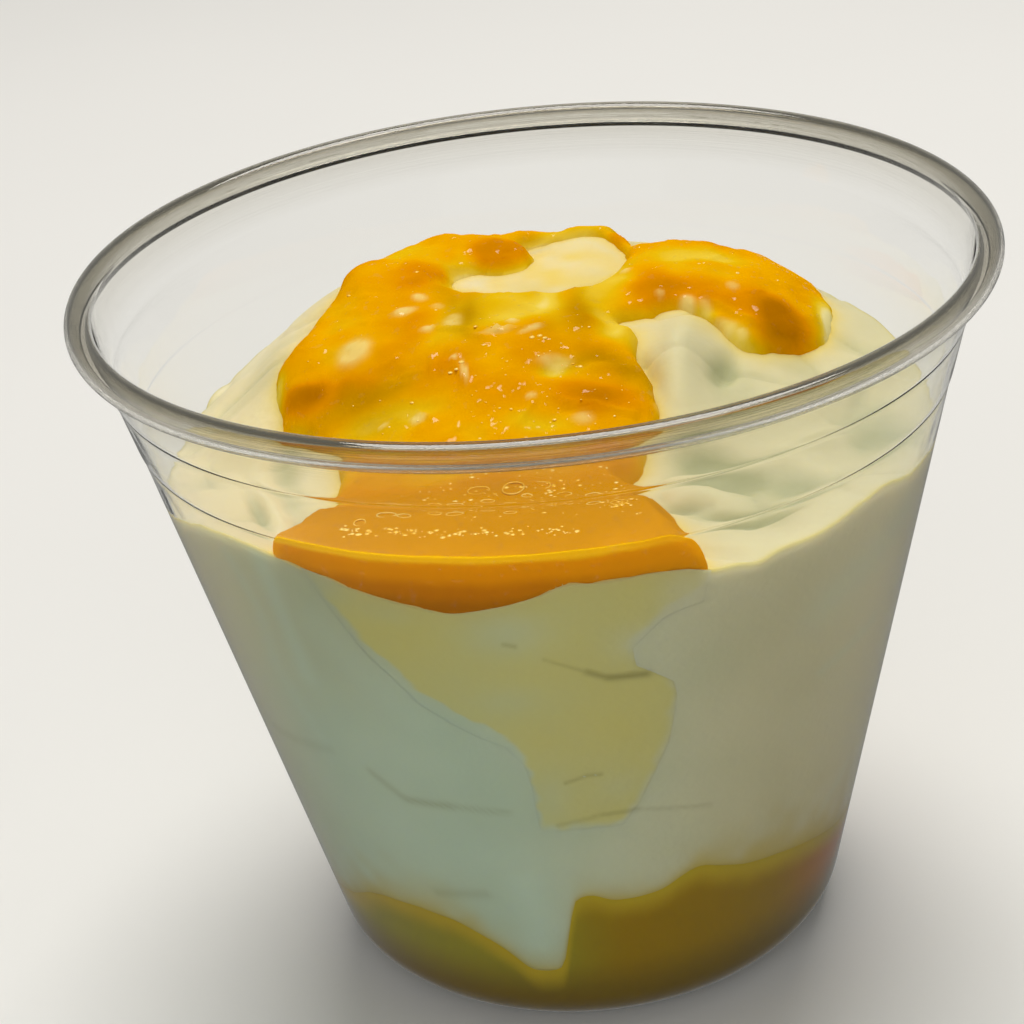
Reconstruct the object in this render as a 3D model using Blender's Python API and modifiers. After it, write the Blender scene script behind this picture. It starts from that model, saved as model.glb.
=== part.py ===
"""Mango mousse in a clear plastic dessert cup.

Amber mango puree lies in the foot of the cup, pale mousse is heaped over it, a wedge of
mousse stained with juice runs up the front, and mango sauce is poured over the top.
Metres, +Z up.  The origin is on the cup's axis, at the level it stands on.  -Y is the
front, azimuths are in degrees from the front, positive towards +X.
"""
import math

import bmesh
import bpy
import numpy as np

# ---- the cup: one sheet of clear plastic, rolled outwards at the rim
RIM_RADIUS = 0.0460  # outside of the rolled rim
CUP_HEIGHT = 0.0752
SHEET = 0.0005  # thickness of the plastic
CURL_RADIUS = 0.00135  # outside radius of the rolled rim
CURL_TURN = 280  # degrees that the rim rolls through
WALL_SLOPE = 0.2322  # radius gained per height of the side wall
FOOT_CORNER_RADIUS = 0.02646  # where the side wall's line meets the table
FOOT_FILLET = 0.00607
RING_HEIGHTS = (0.0620, 0.0680)  # the two stacking rings, small steps outwards
RING_STEP = 0.0003
STANDING_RING_WIDTH = 0.0020
PUNT_HEIGHT = 0.0012  # the middle of the foot is pushed up
PUNT_SLOPE_WIDTH = 0.0014
SIDES = 48  # facets round every turned piece

# ---- the contents
GAP = 0.0003  # between pieces that touch
MOUSSE_AT_WALL = 0.0570  # mean height of the mousse round the wall
BASE_LEVEL = 0.0136  # height of the puree in the middle of the foot
POOL_LEVEL = 0.0622  # level of the sauce that has run down to the front wall
POOL_START = -0.0240  # the sauce levels out where y falls below this
POOL_BLEND = 0.0030  # how softly it does so
POOL_DROP, POOL_FILL = 0.0020, 0.0080  # most that levelling takes away and adds
SAUCE_EDGE = 0.0009  # thickness of the sauce at its edge
SAUCE_FILL = 0.0020  # thickness that it gains away from the edge
SAUCE_SHOULDER = 0.0022  # distance over which it gains it
SAUCE_SINK = 0.0010  # its underside starts this far down in the mousse, and is cut to shape
SAUCE_CELL = 0.0017  # grid spacing of the sauce's surface
SAUCE_SPAN = 0.0860  # width of that grid
UNDER_SPREAD = 1.2  # the form that shapes the underside is this much wider than the mousse
UNDER_FLOOR = 0.0300  # and reaches down to here

# Round the wall: azimuth in degrees and height of the mousse's upper edge
MOUSSE_EDGE = [
    (-150, 0.0556), (-120, 0.0546), (-100, 0.0545), (-84, 0.0552), (-72, 0.0562), (-66, 0.0572),
    (-60, 0.0587), (-55, 0.0600), (-50, 0.0603), (-44, 0.0600), (-38, 0.0597), (-33, 0.0592),
    (-28, 0.0579), (-22, 0.0570), (-15, 0.0560), (-8, 0.0569), (-3, 0.0579), (0, 0.0590),
    (5, 0.0587), (12, 0.0588), (16, 0.0585), (20, 0.0574), (25, 0.0571), (35, 0.0570),
    (41, 0.0577), (48, 0.0584), (53, 0.0580), (58, 0.0569), (65, 0.0562), (75, 0.0558),
    (95, 0.0556), (125, 0.0558), (150, 0.0562), (180, 0.0562),
]
# The same of the puree, which drops steeply where a tongue of mousse reaches down
PUREE_EDGE = [
    (-150, 0.0120), (-120, 0.0110), (-90, 0.0092), (-70, 0.0096), (-58, 0.0116), (-50, 0.0140),
    (-45, 0.0148), (-36, 0.0152), (-28, 0.0146), (-24, 0.0134), (-20, 0.0120), (-16.5, 0.0102),
    (-14.5, 0.0086), (-11, 0.0084), (-7, 0.0088), (-5.6, 0.0120), (-4.8, 0.0172), (-3.5, 0.0188),
    (0, 0.0193), (3, 0.0181), (8, 0.0180), (13, 0.0184), (17, 0.0198), (20, 0.0204),
    (24, 0.0194), (30, 0.0181), (38, 0.0172), (46, 0.0161), (60, 0.0140), (80, 0.0125),
    (110, 0.0132), (150, 0.0130),
]
EDGE_BLUR = 0.7  # degrees over which the corners of these lines are softened
EDGE_STEEPNESS = 6  # a layer bends to its edge with this power of the radius
# Heaps and dents of the mousse: x, y, two half widths, turn, height, steepness
MOUSSE_HEAPS = [
    (0.0005, 0.0140, 0.0300, 0.0250, 0, 0.0083, 4),  # the mound
    (-0.0020, -0.0140, 0.0180, 0.0110, 0, 0.0020, 2),  # its apron under the sauce
    (0.0145, -0.0050, 0.0030, 0.0090, -8, 0.0016, 2),  # ridge between two lobes of sauce
    (0.0240, -0.0120, 0.0090, 0.0090, 0, 0.0010, 2),
    (0.0170, -0.0280, 0.0040, 0.0030, -30, -0.0010, 2),
    (0.0290, -0.0170, 0.0040, 0.0040, 0, -0.0012, 2),
    (0.0150, -0.0340, 0.0060, 0.0012, -20, -0.0008, 2),
    (-0.0250, -0.0210, 0.0040, 0.0060, 30, -0.0009, 2),
    (-0.0262, 0.0070, 0.0042, 0.0085, 8, 0.0022, 2),  # the mound's rim beside the sauce
    (-0.0200, 0.0200, 0.0065, 0.0060, 30, 0.0026, 2),
    (-0.0110, 0.0285, 0.0070, 0.0040, 10, 0.0018, 2),
    (0.0070, 0.0275, 0.0060, 0.0040, 0, 0.0010, 2),
]
# The sauce as it was poured: strokes from one round end to another, each x, y, radius
SAUCE_STROKES = [
    (-0.0072, -0.0460, 0.0240, -0.0072, -0.0360, 0.0190),
    (-0.0072, -0.0360, 0.0190, -0.0073, -0.0195, 0.0138),
    (-0.0073, -0.0195, 0.0138, -0.0033, -0.0103, 0.0149),
    (-0.0033, -0.0103, 0.0149, -0.0110, 0.0020, 0.0150),
    (-0.0110, 0.0020, 0.0150, -0.0103, 0.0130, 0.0110),
    (-0.0237, 0.0036, 0.0032, -0.0185, 0.0110, 0.0030),
    (-0.0103, 0.0130, 0.0110, -0.0094, 0.0202, 0.0081),
    (-0.0094, 0.0202, 0.0081, 0.0000, 0.0262, 0.0038),
    (0.0000, 0.0262, 0.0038, 0.0095, 0.0268, 0.0026),
    (0.0095, 0.0268, 0.0026, 0.0110, 0.0212, 0.0020),
    (0.0130, 0.0190, 0.0038, 0.0195, 0.0192, 0.0055),
    (-0.0010, 0.0020, 0.0100, 0.0060, 0.0040, 0.0070),
    (0.0020, 0.0040, 0.0070, 0.0150, 0.0120, 0.0088),
    (0.0150, 0.0120, 0.0088, 0.0214, 0.0144, 0.0094),
    (0.0214, 0.0144, 0.0094, 0.0230, 0.0081, 0.0062),
    (0.0230, 0.0081, 0.0062, 0.0203, 0.0000, 0.0028),
]
# Bare places that the strokes leave: a hole behind the middle, the notch between the lobes
SAUCE_BARE = [
    (-0.0062, 0.0180, 0.0014, -0.0015, 0.0158, 0.0018),
    (-0.0015, 0.0158, 0.0018, 0.0026, 0.0150, 0.0022),
    (0.0026, 0.0150, 0.0022, 0.0048, 0.0190, 0.0038),
    (0.0048, 0.0190, 0.0038, 0.0052, 0.0232, 0.0030),
    (0.0150, 0.0012, 0.0015, 0.0135, -0.0038, 0.0033),
    (0.0135, -0.0038, 0.0033, 0.0160, -0.0150, 0.0044),
]
STROKE_BLEND = 0.0010  # how softly the strokes run into each other

# The stained wedge at the front wall: height, azimuths of its left and right edge, depth
STAIN_SECTIONS = [
    (0.0285, -7.5, 6.0, 0.0030), (0.0348, -7.8, 11.5, 0.0050), (0.0385, -8.6, 13.8, 0.0060),
    (0.0413, -11.1, 14.5, 0.0065), (0.0445, -19.0, 15.0, 0.0070), (0.0464, -23.0, 14.5, 0.0075),
    (0.0492, -26.0, 9.0, 0.0080), (0.0514, -29.1, 8.6, 0.0085), (0.0545, -31.8, 13.2, 0.0085),
    (0.0560, -33.0, 18.5, 0.0090), (0.0620, -37.0, 20.0, 0.0090),
]
STAIN_SIDES = 20

CLEAR_PLASTIC = ((0.86, 0.88, 0.88, 1.0), 0.06)
MOUSSE_CREAM = ((0.80, 0.74, 0.47, 1.0), 0.45)
SAUCE_ORANGE = ((0.86, 0.38, 0.02, 1.0), 0.15)
PUREE_AMBER = ((0.45, 0.26, 0.03, 1.0), 0.30)
STAIN_YELLOW = ((0.74, 0.66, 0.28, 1.0), 0.45)


def start_empty():
    """Remove every object, and make one collection for the parts and one for the cutters."""
    for obj in list(bpy.data.objects):
        bpy.data.objects.remove(obj, do_unlink=True)
    made = []
    for name in ("mango_mousse", "cutters"):
        collection = bpy.data.collections.new(name)
        bpy.context.scene.collection.children.link(collection)
        made.append(collection)
    return made


PARTS, CUTTERS = start_empty()


def finish(name, colour, roughness, transmission=0.0):
    material = bpy.data.materials.new(name)
    material.use_nodes = True
    shader = material.node_tree.nodes["Principled BSDF"]
    shader.inputs["Base Color"].default_value = colour
    shader.inputs["Roughness"].default_value = roughness
    shader.inputs["Metallic"].default_value = 0.0
    shader.inputs["Transmission Weight"].default_value = transmission
    return material


def part(name, mesh, material):
    obj = bpy.data.objects.new(name, mesh)
    mesh.materials.clear()
    mesh.materials.append(material)
    mesh.shade_smooth()
    mesh.set_sharp_from_angle(angle=math.radians(40))
    PARTS.objects.link(obj)
    return obj


def cutter(name, mesh):
    obj = bpy.data.objects.new(name, mesh)
    CUTTERS.objects.link(obj)
    obj.hide_render = True
    obj.display_type = "WIRE"
    return obj


def cut(obj, tool, operation):
    modifier = obj.modifiers.new(tool.name, "BOOLEAN")
    modifier.operation = operation
    modifier.object = tool
    modifier.solver = "EXACT"


# ---- the cup's section


def arc(centre, radius, start, end, count):
    """Points on an arc from one angle to another, in degrees, both ends included."""
    angles = np.radians(np.linspace(start, end, count + 1))
    return [(centre[0] + radius * math.cos(a), centre[1] + radius * math.sin(a)) for a in angles]


def cup_section():
    """The outer face of the sheet, from the free edge of the rolled rim down to the axis."""
    face_radius = CURL_RADIUS - SHEET
    curl = (RIM_RADIUS - CURL_RADIUS, CUP_HEIGHT - CURL_RADIUS)
    points = arc(curl, face_radius, 180 - CURL_TURN, 180, 10)
    for height in reversed(RING_HEIGHTS):
        line = FOOT_CORNER_RADIUS + WALL_SLOPE * height
        steps_below = RING_STEP * RING_HEIGHTS.index(height)
        points.append((line + steps_below + RING_STEP, height + RING_STEP))
        points.append((line + steps_below, height - RING_STEP))
    lean = math.atan(WALL_SLOPE)  # the wall leans outwards by this angle
    reach = FOOT_FILLET * math.tan((math.pi / 2 - lean) / 2)
    centre = (FOOT_CORNER_RADIUS - reach, FOOT_FILLET)
    points += arc(centre, FOOT_FILLET, -math.degrees(lean), -90, 5)
    ring_inside = centre[0] - STANDING_RING_WIDTH
    points.append((ring_inside, 0.0))
    points.append((ring_inside - PUNT_SLOPE_WIDTH, PUNT_HEIGHT))
    points.append((ring_inside / 2, PUNT_HEIGHT))
    points.append((0.0, PUNT_HEIGHT))
    return np.array(points)


def set_in(section, distance):
    """The same section moved inwards by a distance, with mitred corners."""
    along = np.diff(section, axis=0)
    along /= np.linalg.norm(along, axis=1, keepdims=True)
    inward = np.stack([along[:, 1], -along[:, 0]], axis=1)
    before = np.vstack([inward[:1], inward])
    after = np.vstack([inward, inward[-1:]])
    mitre = before + after
    mitre /= (mitre * after).sum(axis=1, keepdims=True)
    return section + distance * mitre


def turned(section, name):
    """A profile in the XZ plane with a Screw modifier, closed on the axis."""
    mesh = bpy.data.meshes.new(name)
    points = [(radius, 0.0, height) for radius, height in section]
    mesh.from_pydata(points, [(i, i + 1) for i in range(len(points) - 1)], [])
    return mesh


CUP_SECTION = cup_section()
INSIDE = set_in(CUP_SECTION, SHEET + GAP)  # what the contents fill
FOOT_TOP = 0.0070  # above this the inside widens steadily
WALL_SPAN = (0.0040, 0.0700)  # heights that the contents can meet the wall at


def inside_radius(height):
    """Radius that the contents reach at a height above the foot's fillet."""
    at = INSIDE[:, 1]
    wall = INSIDE[(at > WALL_SPAN[0]) & (at < WALL_SPAN[1])][::-1]
    return np.interp(height, wall[:, 1], wall[:, 0])


# ---- heights of the layers, as functions of x and y


def round_wall(azimuth, table):
    """Heights round the wall: straight lines between the table's points, corners softened."""
    at, height = np.array(table).T
    shifts = EDGE_BLUR * np.arange(-2, 3)
    return np.mean([np.interp(azimuth + s, at, height, period=360) for s in shifts], axis=0)


def to_wall(x, y, table, level):
    """A level layer that bends to its edge's heights close to the wall."""
    edge = round_wall(np.degrees(np.arctan2(x, -y)), table)
    fade = np.clip(np.hypot(x, y) / inside_radius(edge), 0, 1) ** EDGE_STEEPNESS
    return level + fade * (edge - level)


def heap(x, y, cx, cy, wide, deep, turn, height, steepness):
    """A round or oval heap: height * exp(-distance^steepness), in half widths."""
    cosine, sine = math.cos(math.radians(turn)), math.sin(math.radians(turn))
    across = ((x - cx) * cosine + (y - cy) * sine) / wide
    along = ((y - cy) * cosine - (x - cx) * sine) / deep
    return height * np.exp(-((across**2 + along**2) ** (steepness / 2)))


def mousse_top(x, y):
    total = to_wall(x, y, MOUSSE_EDGE, MOUSSE_AT_WALL)
    for shape in MOUSSE_HEAPS:
        total = total + heap(x, y, *shape)
    return total


def base_top(x, y):
    return to_wall(x, y, PUREE_EDGE, BASE_LEVEL)


def stroke(x, y, x0, y0, r0, x1, y1, r1):
    """How far a point is inside a tapered stroke; negative outside."""
    dx, dy = x1 - x0, y1 - y0
    share = np.clip(((x - x0) * dx + (y - y0) * dy) / (dx * dx + dy * dy), 0, 1)
    return r0 + (r1 - r0) * share - np.hypot(x - x0 - share * dx, y - y0 - share * dy)


def blended(distances):
    """A smooth maximum of several distances."""
    stack = np.array(distances) / STROKE_BLEND
    top = stack.max(axis=0)
    return STROKE_BLEND * (top + np.log(np.exp(stack - top).sum(axis=0)))


def sauce_reach(x, y):
    """How far a point is inside the sauce's outline; negative outside."""
    poured = blended([stroke(x, y, *s) for s in SAUCE_STROKES])
    bare = blended([stroke(x, y, *s) for s in SAUCE_BARE])
    return -blended([-poured, bare])


def sauce_top(x, y):
    """The sauce thickens away from its edge, and stands level against the front wall."""
    fill = 1 - np.exp(-np.clip(sauce_reach(x, y), 0, None) / SAUCE_SHOULDER)
    top = mousse_top(x, y) + GAP + SAUCE_EDGE + SAUCE_FILL * fill
    front = 1 / (1 + np.exp((y - POOL_START) / POOL_BLEND))
    return top + front * np.clip(POOL_LEVEL - top, -POOL_DROP, POOL_FILL)


# ---- bodies of the layers


def layered_body(name, rings, floor_middle, roof_middle):
    """A sphere primitive whose rings become the given ones, from the top to the bottom.

    Each ring is an array of SIDES points, and the two poles are the given heights.
    """
    form = bmesh.new()
    bmesh.ops.create_uvsphere(form, u_segments=SIDES, v_segments=len(rings) + 1, radius=1.0)
    for vert in form.verts:
        polar = math.acos(max(-1.0, min(1.0, vert.co.z)))
        index = round(polar * (len(rings) + 1) / math.pi) - 1
        if index < 0:
            vert.co = (0.0, 0.0, roof_middle)
        elif index >= len(rings):
            vert.co = (0.0, 0.0, floor_middle)
        else:
            side = round(math.atan2(vert.co.y, vert.co.x) * SIDES / math.tau) % SIDES
            vert.co = rings[index][side]
    bmesh.ops.triangulate(form, faces=form.faces, quad_method="SHORT_EDGE")
    bmesh.ops.recalc_face_normals(form, faces=form.faces)
    mesh = bpy.data.meshes.new(name)
    form.to_mesh(mesh)
    form.free()
    return mesh


TURN = np.arange(SIDES) * math.tau / SIDES
COS, SIN = np.cos(TURN), np.sin(TURN)


def wall_height(surface):
    """Height at which a layer's surface meets the inside of the cup, for each side."""
    height = np.full(SIDES, MOUSSE_AT_WALL)
    for _ in range(16):
        radius = inside_radius(height)
        height = surface(radius * COS, radius * SIN)
    return height


def ring(radius, height):
    return np.stack([radius * COS, radius * SIN, np.broadcast_to(height, (SIDES,))], axis=1)


def surface_rings(surface, count, lift=0.0):
    """Rings over a layer's surface, from the middle out to the wall."""
    edge = inside_radius(wall_height(surface))
    made = []
    for share in np.arange(1, count + 1) / count:
        radius = edge * share
        made.append(ring(radius, surface(radius * COS, radius * SIN) + lift))
    return made


MIDDLE = np.zeros(1)
BASE_RINGS = 8
MOUSSE_RINGS = 17
SIDE_RINGS = 4


def base_body():
    """The puree: its wavy top, down the wall, and the inside of the foot."""
    rings = surface_rings(base_top, BASE_RINGS)
    top = wall_height(base_top)
    foot = INSIDE[INSIDE[:, 1] < FOOT_TOP]
    half_way = (top + foot[0, 1]) / 2
    rings.append(ring(inside_radius(half_way), half_way))
    for radius, height in foot[:-1]:
        rings.append(ring(radius, height))
    return layered_body("mango_base", rings, foot[-1, 1], base_top(MIDDLE, MIDDLE)[0])


def mousse_rings():
    """The mousse: its heaped top, down the wall, and over the puree with a gap."""
    rings = surface_rings(mousse_top, MOUSSE_RINGS)
    top = wall_height(mousse_top)
    under = surface_rings(base_top, BASE_RINGS, GAP)
    low = under[-1][:, 2]
    for step in range(1, SIDE_RINGS + 1):
        height = top + (low - top) * step / (SIDE_RINGS + 1)
        rings.append(ring(inside_radius(height), height))
    return rings + under[::-1]


def mousse_body(name):
    middle_low = base_top(MIDDLE, MIDDLE)[0] + GAP
    return layered_body(name, mousse_rings(), middle_low, mousse_top(MIDDLE, MIDDLE)[0])


def under_sauce_body():
    """The mousse's top raised by the gap and carried past the wall.

    It shapes the underside of the sauce.
    """
    rings = surface_rings(mousse_top, MOUSSE_RINGS, GAP)
    spread = rings[-1] * np.array([UNDER_SPREAD, UNDER_SPREAD, 1.0])
    low = spread.copy()
    low[:, 2] = UNDER_FLOOR
    return layered_body("under_sauce", rings + [spread, low], UNDER_FLOOR, rings[0][0, 2])


def stain_body(name, grow):
    """The stained wedge: flat ovals stacked up the wall, which reach inwards by their depth."""
    sections = np.array(STAIN_SECTIONS)
    sections[0, 0] -= grow
    form = bmesh.new()
    bmesh.ops.create_uvsphere(
        form, u_segments=STAIN_SIDES, v_segments=len(sections) + 1, radius=1.0
    )
    for vert in form.verts:
        polar = math.acos(max(-1.0, min(1.0, vert.co.z)))
        index = len(sections) - round(polar * (len(sections) + 1) / math.pi)
        row = sections[min(max(index, 0), len(sections) - 1)]
        height, left, right, depth = row
        wall = inside_radius(height)
        margin = math.degrees(grow / wall)
        middle, half = (left + right) / 2, (right - left) / 2 + margin
        if index < 0 or index >= len(sections):
            spread, inwards = 0.0, 0.0
        else:
            around = math.atan2(vert.co.y, vert.co.x)
            spread, inwards = -math.sin(around), math.cos(around)
        azimuth = math.radians(middle + half * spread)
        radius = wall - (depth + grow) * inwards
        vert.co = (radius * math.sin(azimuth), -radius * math.cos(azimuth), height)
    mesh = bpy.data.meshes.new(name)
    form.to_mesh(mesh)
    form.free()
    return mesh


def sauce_body():
    """A grid trimmed to the sauce's outline, its rim moved onto the outline, and given depth.

    Its underside is left low here, and is shaped by the raised mousse.
    """
    wall = inside_radius(POOL_LEVEL)

    def field(x, y):
        return np.minimum(sauce_reach(x, y), wall - np.hypot(x, y))

    cells = round(SAUCE_SPAN / SAUCE_CELL)
    form = bmesh.new()
    bmesh.ops.create_grid(form, x_segments=cells, y_segments=cells, size=SAUCE_SPAN / 2)
    centres = np.array([face.calc_center_median()[:2] for face in form.faces])
    inside = field(centres[:, 0], centres[:, 1]) > 0
    outside = [face for face, keep in zip(list(form.faces), inside) if not keep]
    bmesh.ops.delete(form, geom=outside, context="FACES")

    edge_verts = [v for v in form.verts if v.is_boundary]
    place = np.array([v.co[:2] for v in edge_verts])
    step = 1e-5
    for _ in range(8):
        here = field(place[:, 0], place[:, 1])
        slope_x = (field(place[:, 0] + step, place[:, 1]) - here) / step
        slope_y = (field(place[:, 0], place[:, 1] + step) - here) / step
        steep = np.maximum(slope_x**2 + slope_y**2, 0.1)
        place[:, 0] -= here * slope_x / steep
        place[:, 1] -= here * slope_y / steep
    for vert, (x, y) in zip(edge_verts, place):
        vert.co = (x, y, 0.0)
    inner = [v for v in form.verts if not v.is_boundary]
    for _ in range(4):
        bmesh.ops.smooth_vert(form, verts=inner, factor=0.5, use_axis_x=True, use_axis_y=True)
    bmesh.ops.triangulate(form, faces=form.faces, quad_method="BEAUTY")

    low = list(form.verts)
    raised = bmesh.ops.extrude_face_region(form, geom=list(form.faces))["geom"]
    high = [v for v in raised if isinstance(v, bmesh.types.BMVert)]
    for verts, surface, drop in ((low, mousse_top, SAUCE_SINK), (high, sauce_top, 0.0)):
        flat = np.array([v.co[:2] for v in verts])
        height = surface(flat[:, 0], flat[:, 1]) - drop
        near_wall = (np.hypot(flat[:, 0], flat[:, 1]) / wall) ** EDGE_STEEPNESS
        narrow = 1 + (inside_radius(height) / wall - 1) * near_wall
        for vert, (x, y), z, scale in zip(verts, flat, height, narrow):
            vert.co = (x * scale, y * scale, z)
    bmesh.ops.recalc_face_normals(form, faces=form.faces)
    mesh = bpy.data.meshes.new("mango_topping")
    form.to_mesh(mesh)
    form.free()
    return mesh


# ---- the pieces


def make_cup():
    cup = part("cup", turned(CUP_SECTION, "cup"), finish("clear_plastic", *CLEAR_PLASTIC, 1.0))
    screw = cup.modifiers.new("turn", "SCREW")
    screw.axis = "Z"
    screw.steps = SIDES
    screw.render_steps = SIDES
    screw.use_merge_vertices = True
    screw.merge_threshold = 0.00001
    screw.use_smooth_shade = True
    wall = cup.modifiers.new("sheet", "SOLIDIFY")
    wall.thickness = SHEET
    wall.offset = -1.0
    wall.use_even_offset = True
    return cup


def make_base():
    return part("mango_base", base_body(), finish("puree_amber", *PUREE_AMBER))


def make_mousse():
    mousse = part("mousse", mousse_body("mousse"), finish("mousse_cream", *MOUSSE_CREAM))
    cut(mousse, cutter("stain_pocket", stain_body("stain_pocket", GAP)), "DIFFERENCE")
    return mousse


def make_streak():
    streak = part("mango_streak", mousse_body("mango_streak"), finish("stain_yellow", *STAIN_YELLOW))
    cut(streak, cutter("stain_wedge", stain_body("stain_wedge", 0.0)), "INTERSECT")
    return streak


def make_topping():
    topping = part("mango_topping", sauce_body(), finish("sauce_orange", *SAUCE_ORANGE))
    cut(topping, cutter("under_sauce", under_sauce_body()), "DIFFERENCE")
    return topping


make_cup()
make_base()
make_mousse()
make_streak()
make_topping()
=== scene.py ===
"""Looks of a cup of mango mousse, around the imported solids.

Metres (the long tables: millimetres), +Z up, the cup's axis on Z, its foot on Z = 0 and its
front towards -Y. Azimuths are in degrees from the front, positive towards +X.
"""
import math

import bpy
import numpy as np
from mathutils import Matrix, Vector


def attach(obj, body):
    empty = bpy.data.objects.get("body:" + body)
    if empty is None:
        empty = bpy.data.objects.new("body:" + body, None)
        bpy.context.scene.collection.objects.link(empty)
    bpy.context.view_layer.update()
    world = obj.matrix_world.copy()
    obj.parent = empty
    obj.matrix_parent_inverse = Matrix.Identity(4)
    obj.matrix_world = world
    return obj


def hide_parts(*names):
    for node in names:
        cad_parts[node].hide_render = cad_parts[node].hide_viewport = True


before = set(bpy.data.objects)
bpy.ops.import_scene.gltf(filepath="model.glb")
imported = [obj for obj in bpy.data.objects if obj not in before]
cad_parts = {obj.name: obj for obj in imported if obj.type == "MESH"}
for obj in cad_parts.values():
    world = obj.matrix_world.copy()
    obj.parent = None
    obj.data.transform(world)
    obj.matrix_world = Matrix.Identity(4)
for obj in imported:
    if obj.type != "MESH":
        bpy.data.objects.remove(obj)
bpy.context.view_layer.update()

# ---- Camera: a close, slightly tilted view from the front, looking down into the cup.
CAMERA_PLACE = Vector((0.0, -0.23783, 0.16505))
CAMERA_LOOKS = Vector((-0.01674, 0.89465, -0.44645))
CAMERA_RIGHT = Vector((0.99494, -0.02933, -0.09607))
lens = bpy.data.cameras.new("camera")
lens.sensor_width = 36.0
lens.lens = 90.34
lens.clip_start = 0.01
camera = bpy.data.objects.new("camera", lens)
up = CAMERA_RIGHT.cross(CAMERA_LOOKS).normalized()
right = CAMERA_LOOKS.cross(up).normalized()
turn = Matrix((right, up, -CAMERA_LOOKS.normalized())).transposed()
camera.matrix_world = Matrix.Translation(CAMERA_PLACE) @ turn.to_4x4()
bpy.context.scene.collection.objects.link(camera)
bpy.context.scene.camera = camera


# ---- The cup: a sheet of clear PET, half a millimetre thick, drawn into a tapered cup with
# two stacking rings, a raised middle under the foot and a rim rolled outwards.
def arc(centre, radius, start, end, count):
    """Points on a circle's arc: centre + radius * (cos a, sin a), a from start to end degrees."""
    a = np.radians(np.linspace(start, end, count + 1))
    return np.stack([centre[0] + radius * np.cos(a), centre[1] + radius * np.sin(a)], axis=1)


def rounded(points, radius, count):
    """A line of points whose inner corners become arcs: each corner is replaced by a
    quadratic curve between the two places a radius away from it."""
    made = [points[0]]
    share = np.linspace(0, 1, count + 1)[:, None]
    for before, corner, after in zip(points[:-2], points[1:-1], points[2:]):
        reach_in = min(radius, 0.45 * np.linalg.norm(before - corner))
        reach_out = min(radius, 0.45 * np.linalg.norm(after - corner))
        first = corner + (before - corner) / np.linalg.norm(before - corner) * reach_in
        last = corner + (after - corner) / np.linalg.norm(after - corner) * reach_out
        curve = (1 - share) ** 2 * first + 2 * share * (1 - share) * corner + share**2 * last
        made.extend(curve)
    made.append(points[-1])
    return np.array(made)


SHEET = 0.0005
RIM_RADIUS, CUP_HEIGHT = 0.0460, 0.0752
CURL_RADIUS = 0.00135
CURL_TURN = 280
WALL_SLOPE = 0.2322
FOOT_CORNER_RADIUS, FOOT_FILLET = 0.02646, 0.00607
RING_HEIGHTS, RING_STEP = (0.0620, 0.0680), 0.00024
PUNT_HEIGHT, PUNT_SLOPE_WIDTH = 0.0012, 0.0014
STANDING_RING_WIDTH = 0.0020


def cup_section():
    """The sheet's outer face, from the rolled rim's free edge down the wall to the axis."""
    curl = (RIM_RADIUS - CURL_RADIUS, CUP_HEIGHT - CURL_RADIUS)
    rolled = arc(curl, CURL_RADIUS - SHEET, 180 - CURL_TURN, 180, 36)
    wall = [rolled[-1]]
    for height in reversed(RING_HEIGHTS):
        line = FOOT_CORNER_RADIUS + WALL_SLOPE * height
        below = RING_STEP * RING_HEIGHTS.index(height)
        wall.append((line + below + RING_STEP, height + RING_STEP))
        wall.append((line + below, height - RING_STEP))
    lean = math.atan(WALL_SLOPE)
    reach = FOOT_FILLET * math.tan((math.pi / 2 - lean) / 2)
    centre = (FOOT_CORNER_RADIUS - reach, FOOT_FILLET)
    fillet = arc(centre, FOOT_FILLET, -math.degrees(lean), -90, 20)
    wall.append(fillet[0])
    inner = centre[0] - STANDING_RING_WIDTH
    raised = [(inner - PUNT_SLOPE_WIDTH, PUNT_HEIGHT), (0.0, PUNT_HEIGHT)]
    punt = [fillet[-1], (inner, 0.0), *raised]
    wall = rounded(np.array(wall), 0.0008, 5)
    punt = rounded(np.array(punt), 0.0006, 4)
    return np.vstack([rolled[:-1], wall[:-1], fillet[:-1], punt])


def set_in(section, distance):
    """The section moved inwards along its mitred normals."""
    along = np.diff(section, axis=0)
    along /= np.linalg.norm(along, axis=1, keepdims=True)
    inward = np.stack([along[:, 1], -along[:, 0]], axis=1)
    before = np.vstack([inward[:1], inward])
    after = np.vstack([inward, inward[-1:]])
    mitre = before + after
    mitre /= (mitre * after).sum(axis=1, keepdims=True)
    moved = section + distance * mitre
    moved[:, 0] = np.maximum(moved[:, 0], 0.0)
    return moved


def fill_mesh(name, points, quads, triangles):
    """A smooth-shaded mesh object at the origin, from whole arrays of points and faces."""
    mesh = bpy.data.meshes.new(name)
    quads = np.asarray(quads, dtype=np.int32).reshape(-1, 4)
    triangles = np.asarray(triangles, dtype=np.int32).reshape(-1, 3)
    sizes = np.concatenate([np.full(len(quads), 4), np.full(len(triangles), 3)])
    corners = np.concatenate([quads.ravel(), triangles.ravel()])
    mesh.vertices.add(len(points))
    mesh.vertices.foreach_set("co", np.asarray(points, dtype=np.float32).ravel())
    mesh.loops.add(len(corners))
    mesh.loops.foreach_set("vertex_index", corners.astype(np.int32))
    mesh.polygons.add(len(sizes))
    starts = np.concatenate([[0], np.cumsum(sizes)[:-1]])
    mesh.polygons.foreach_set("loop_start", starts.astype(np.int32))
    mesh.update(calc_edges=True)
    mesh.shade_smooth()
    made = bpy.data.objects.new(name, mesh)
    bpy.context.scene.collection.objects.link(made)
    return made


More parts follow.
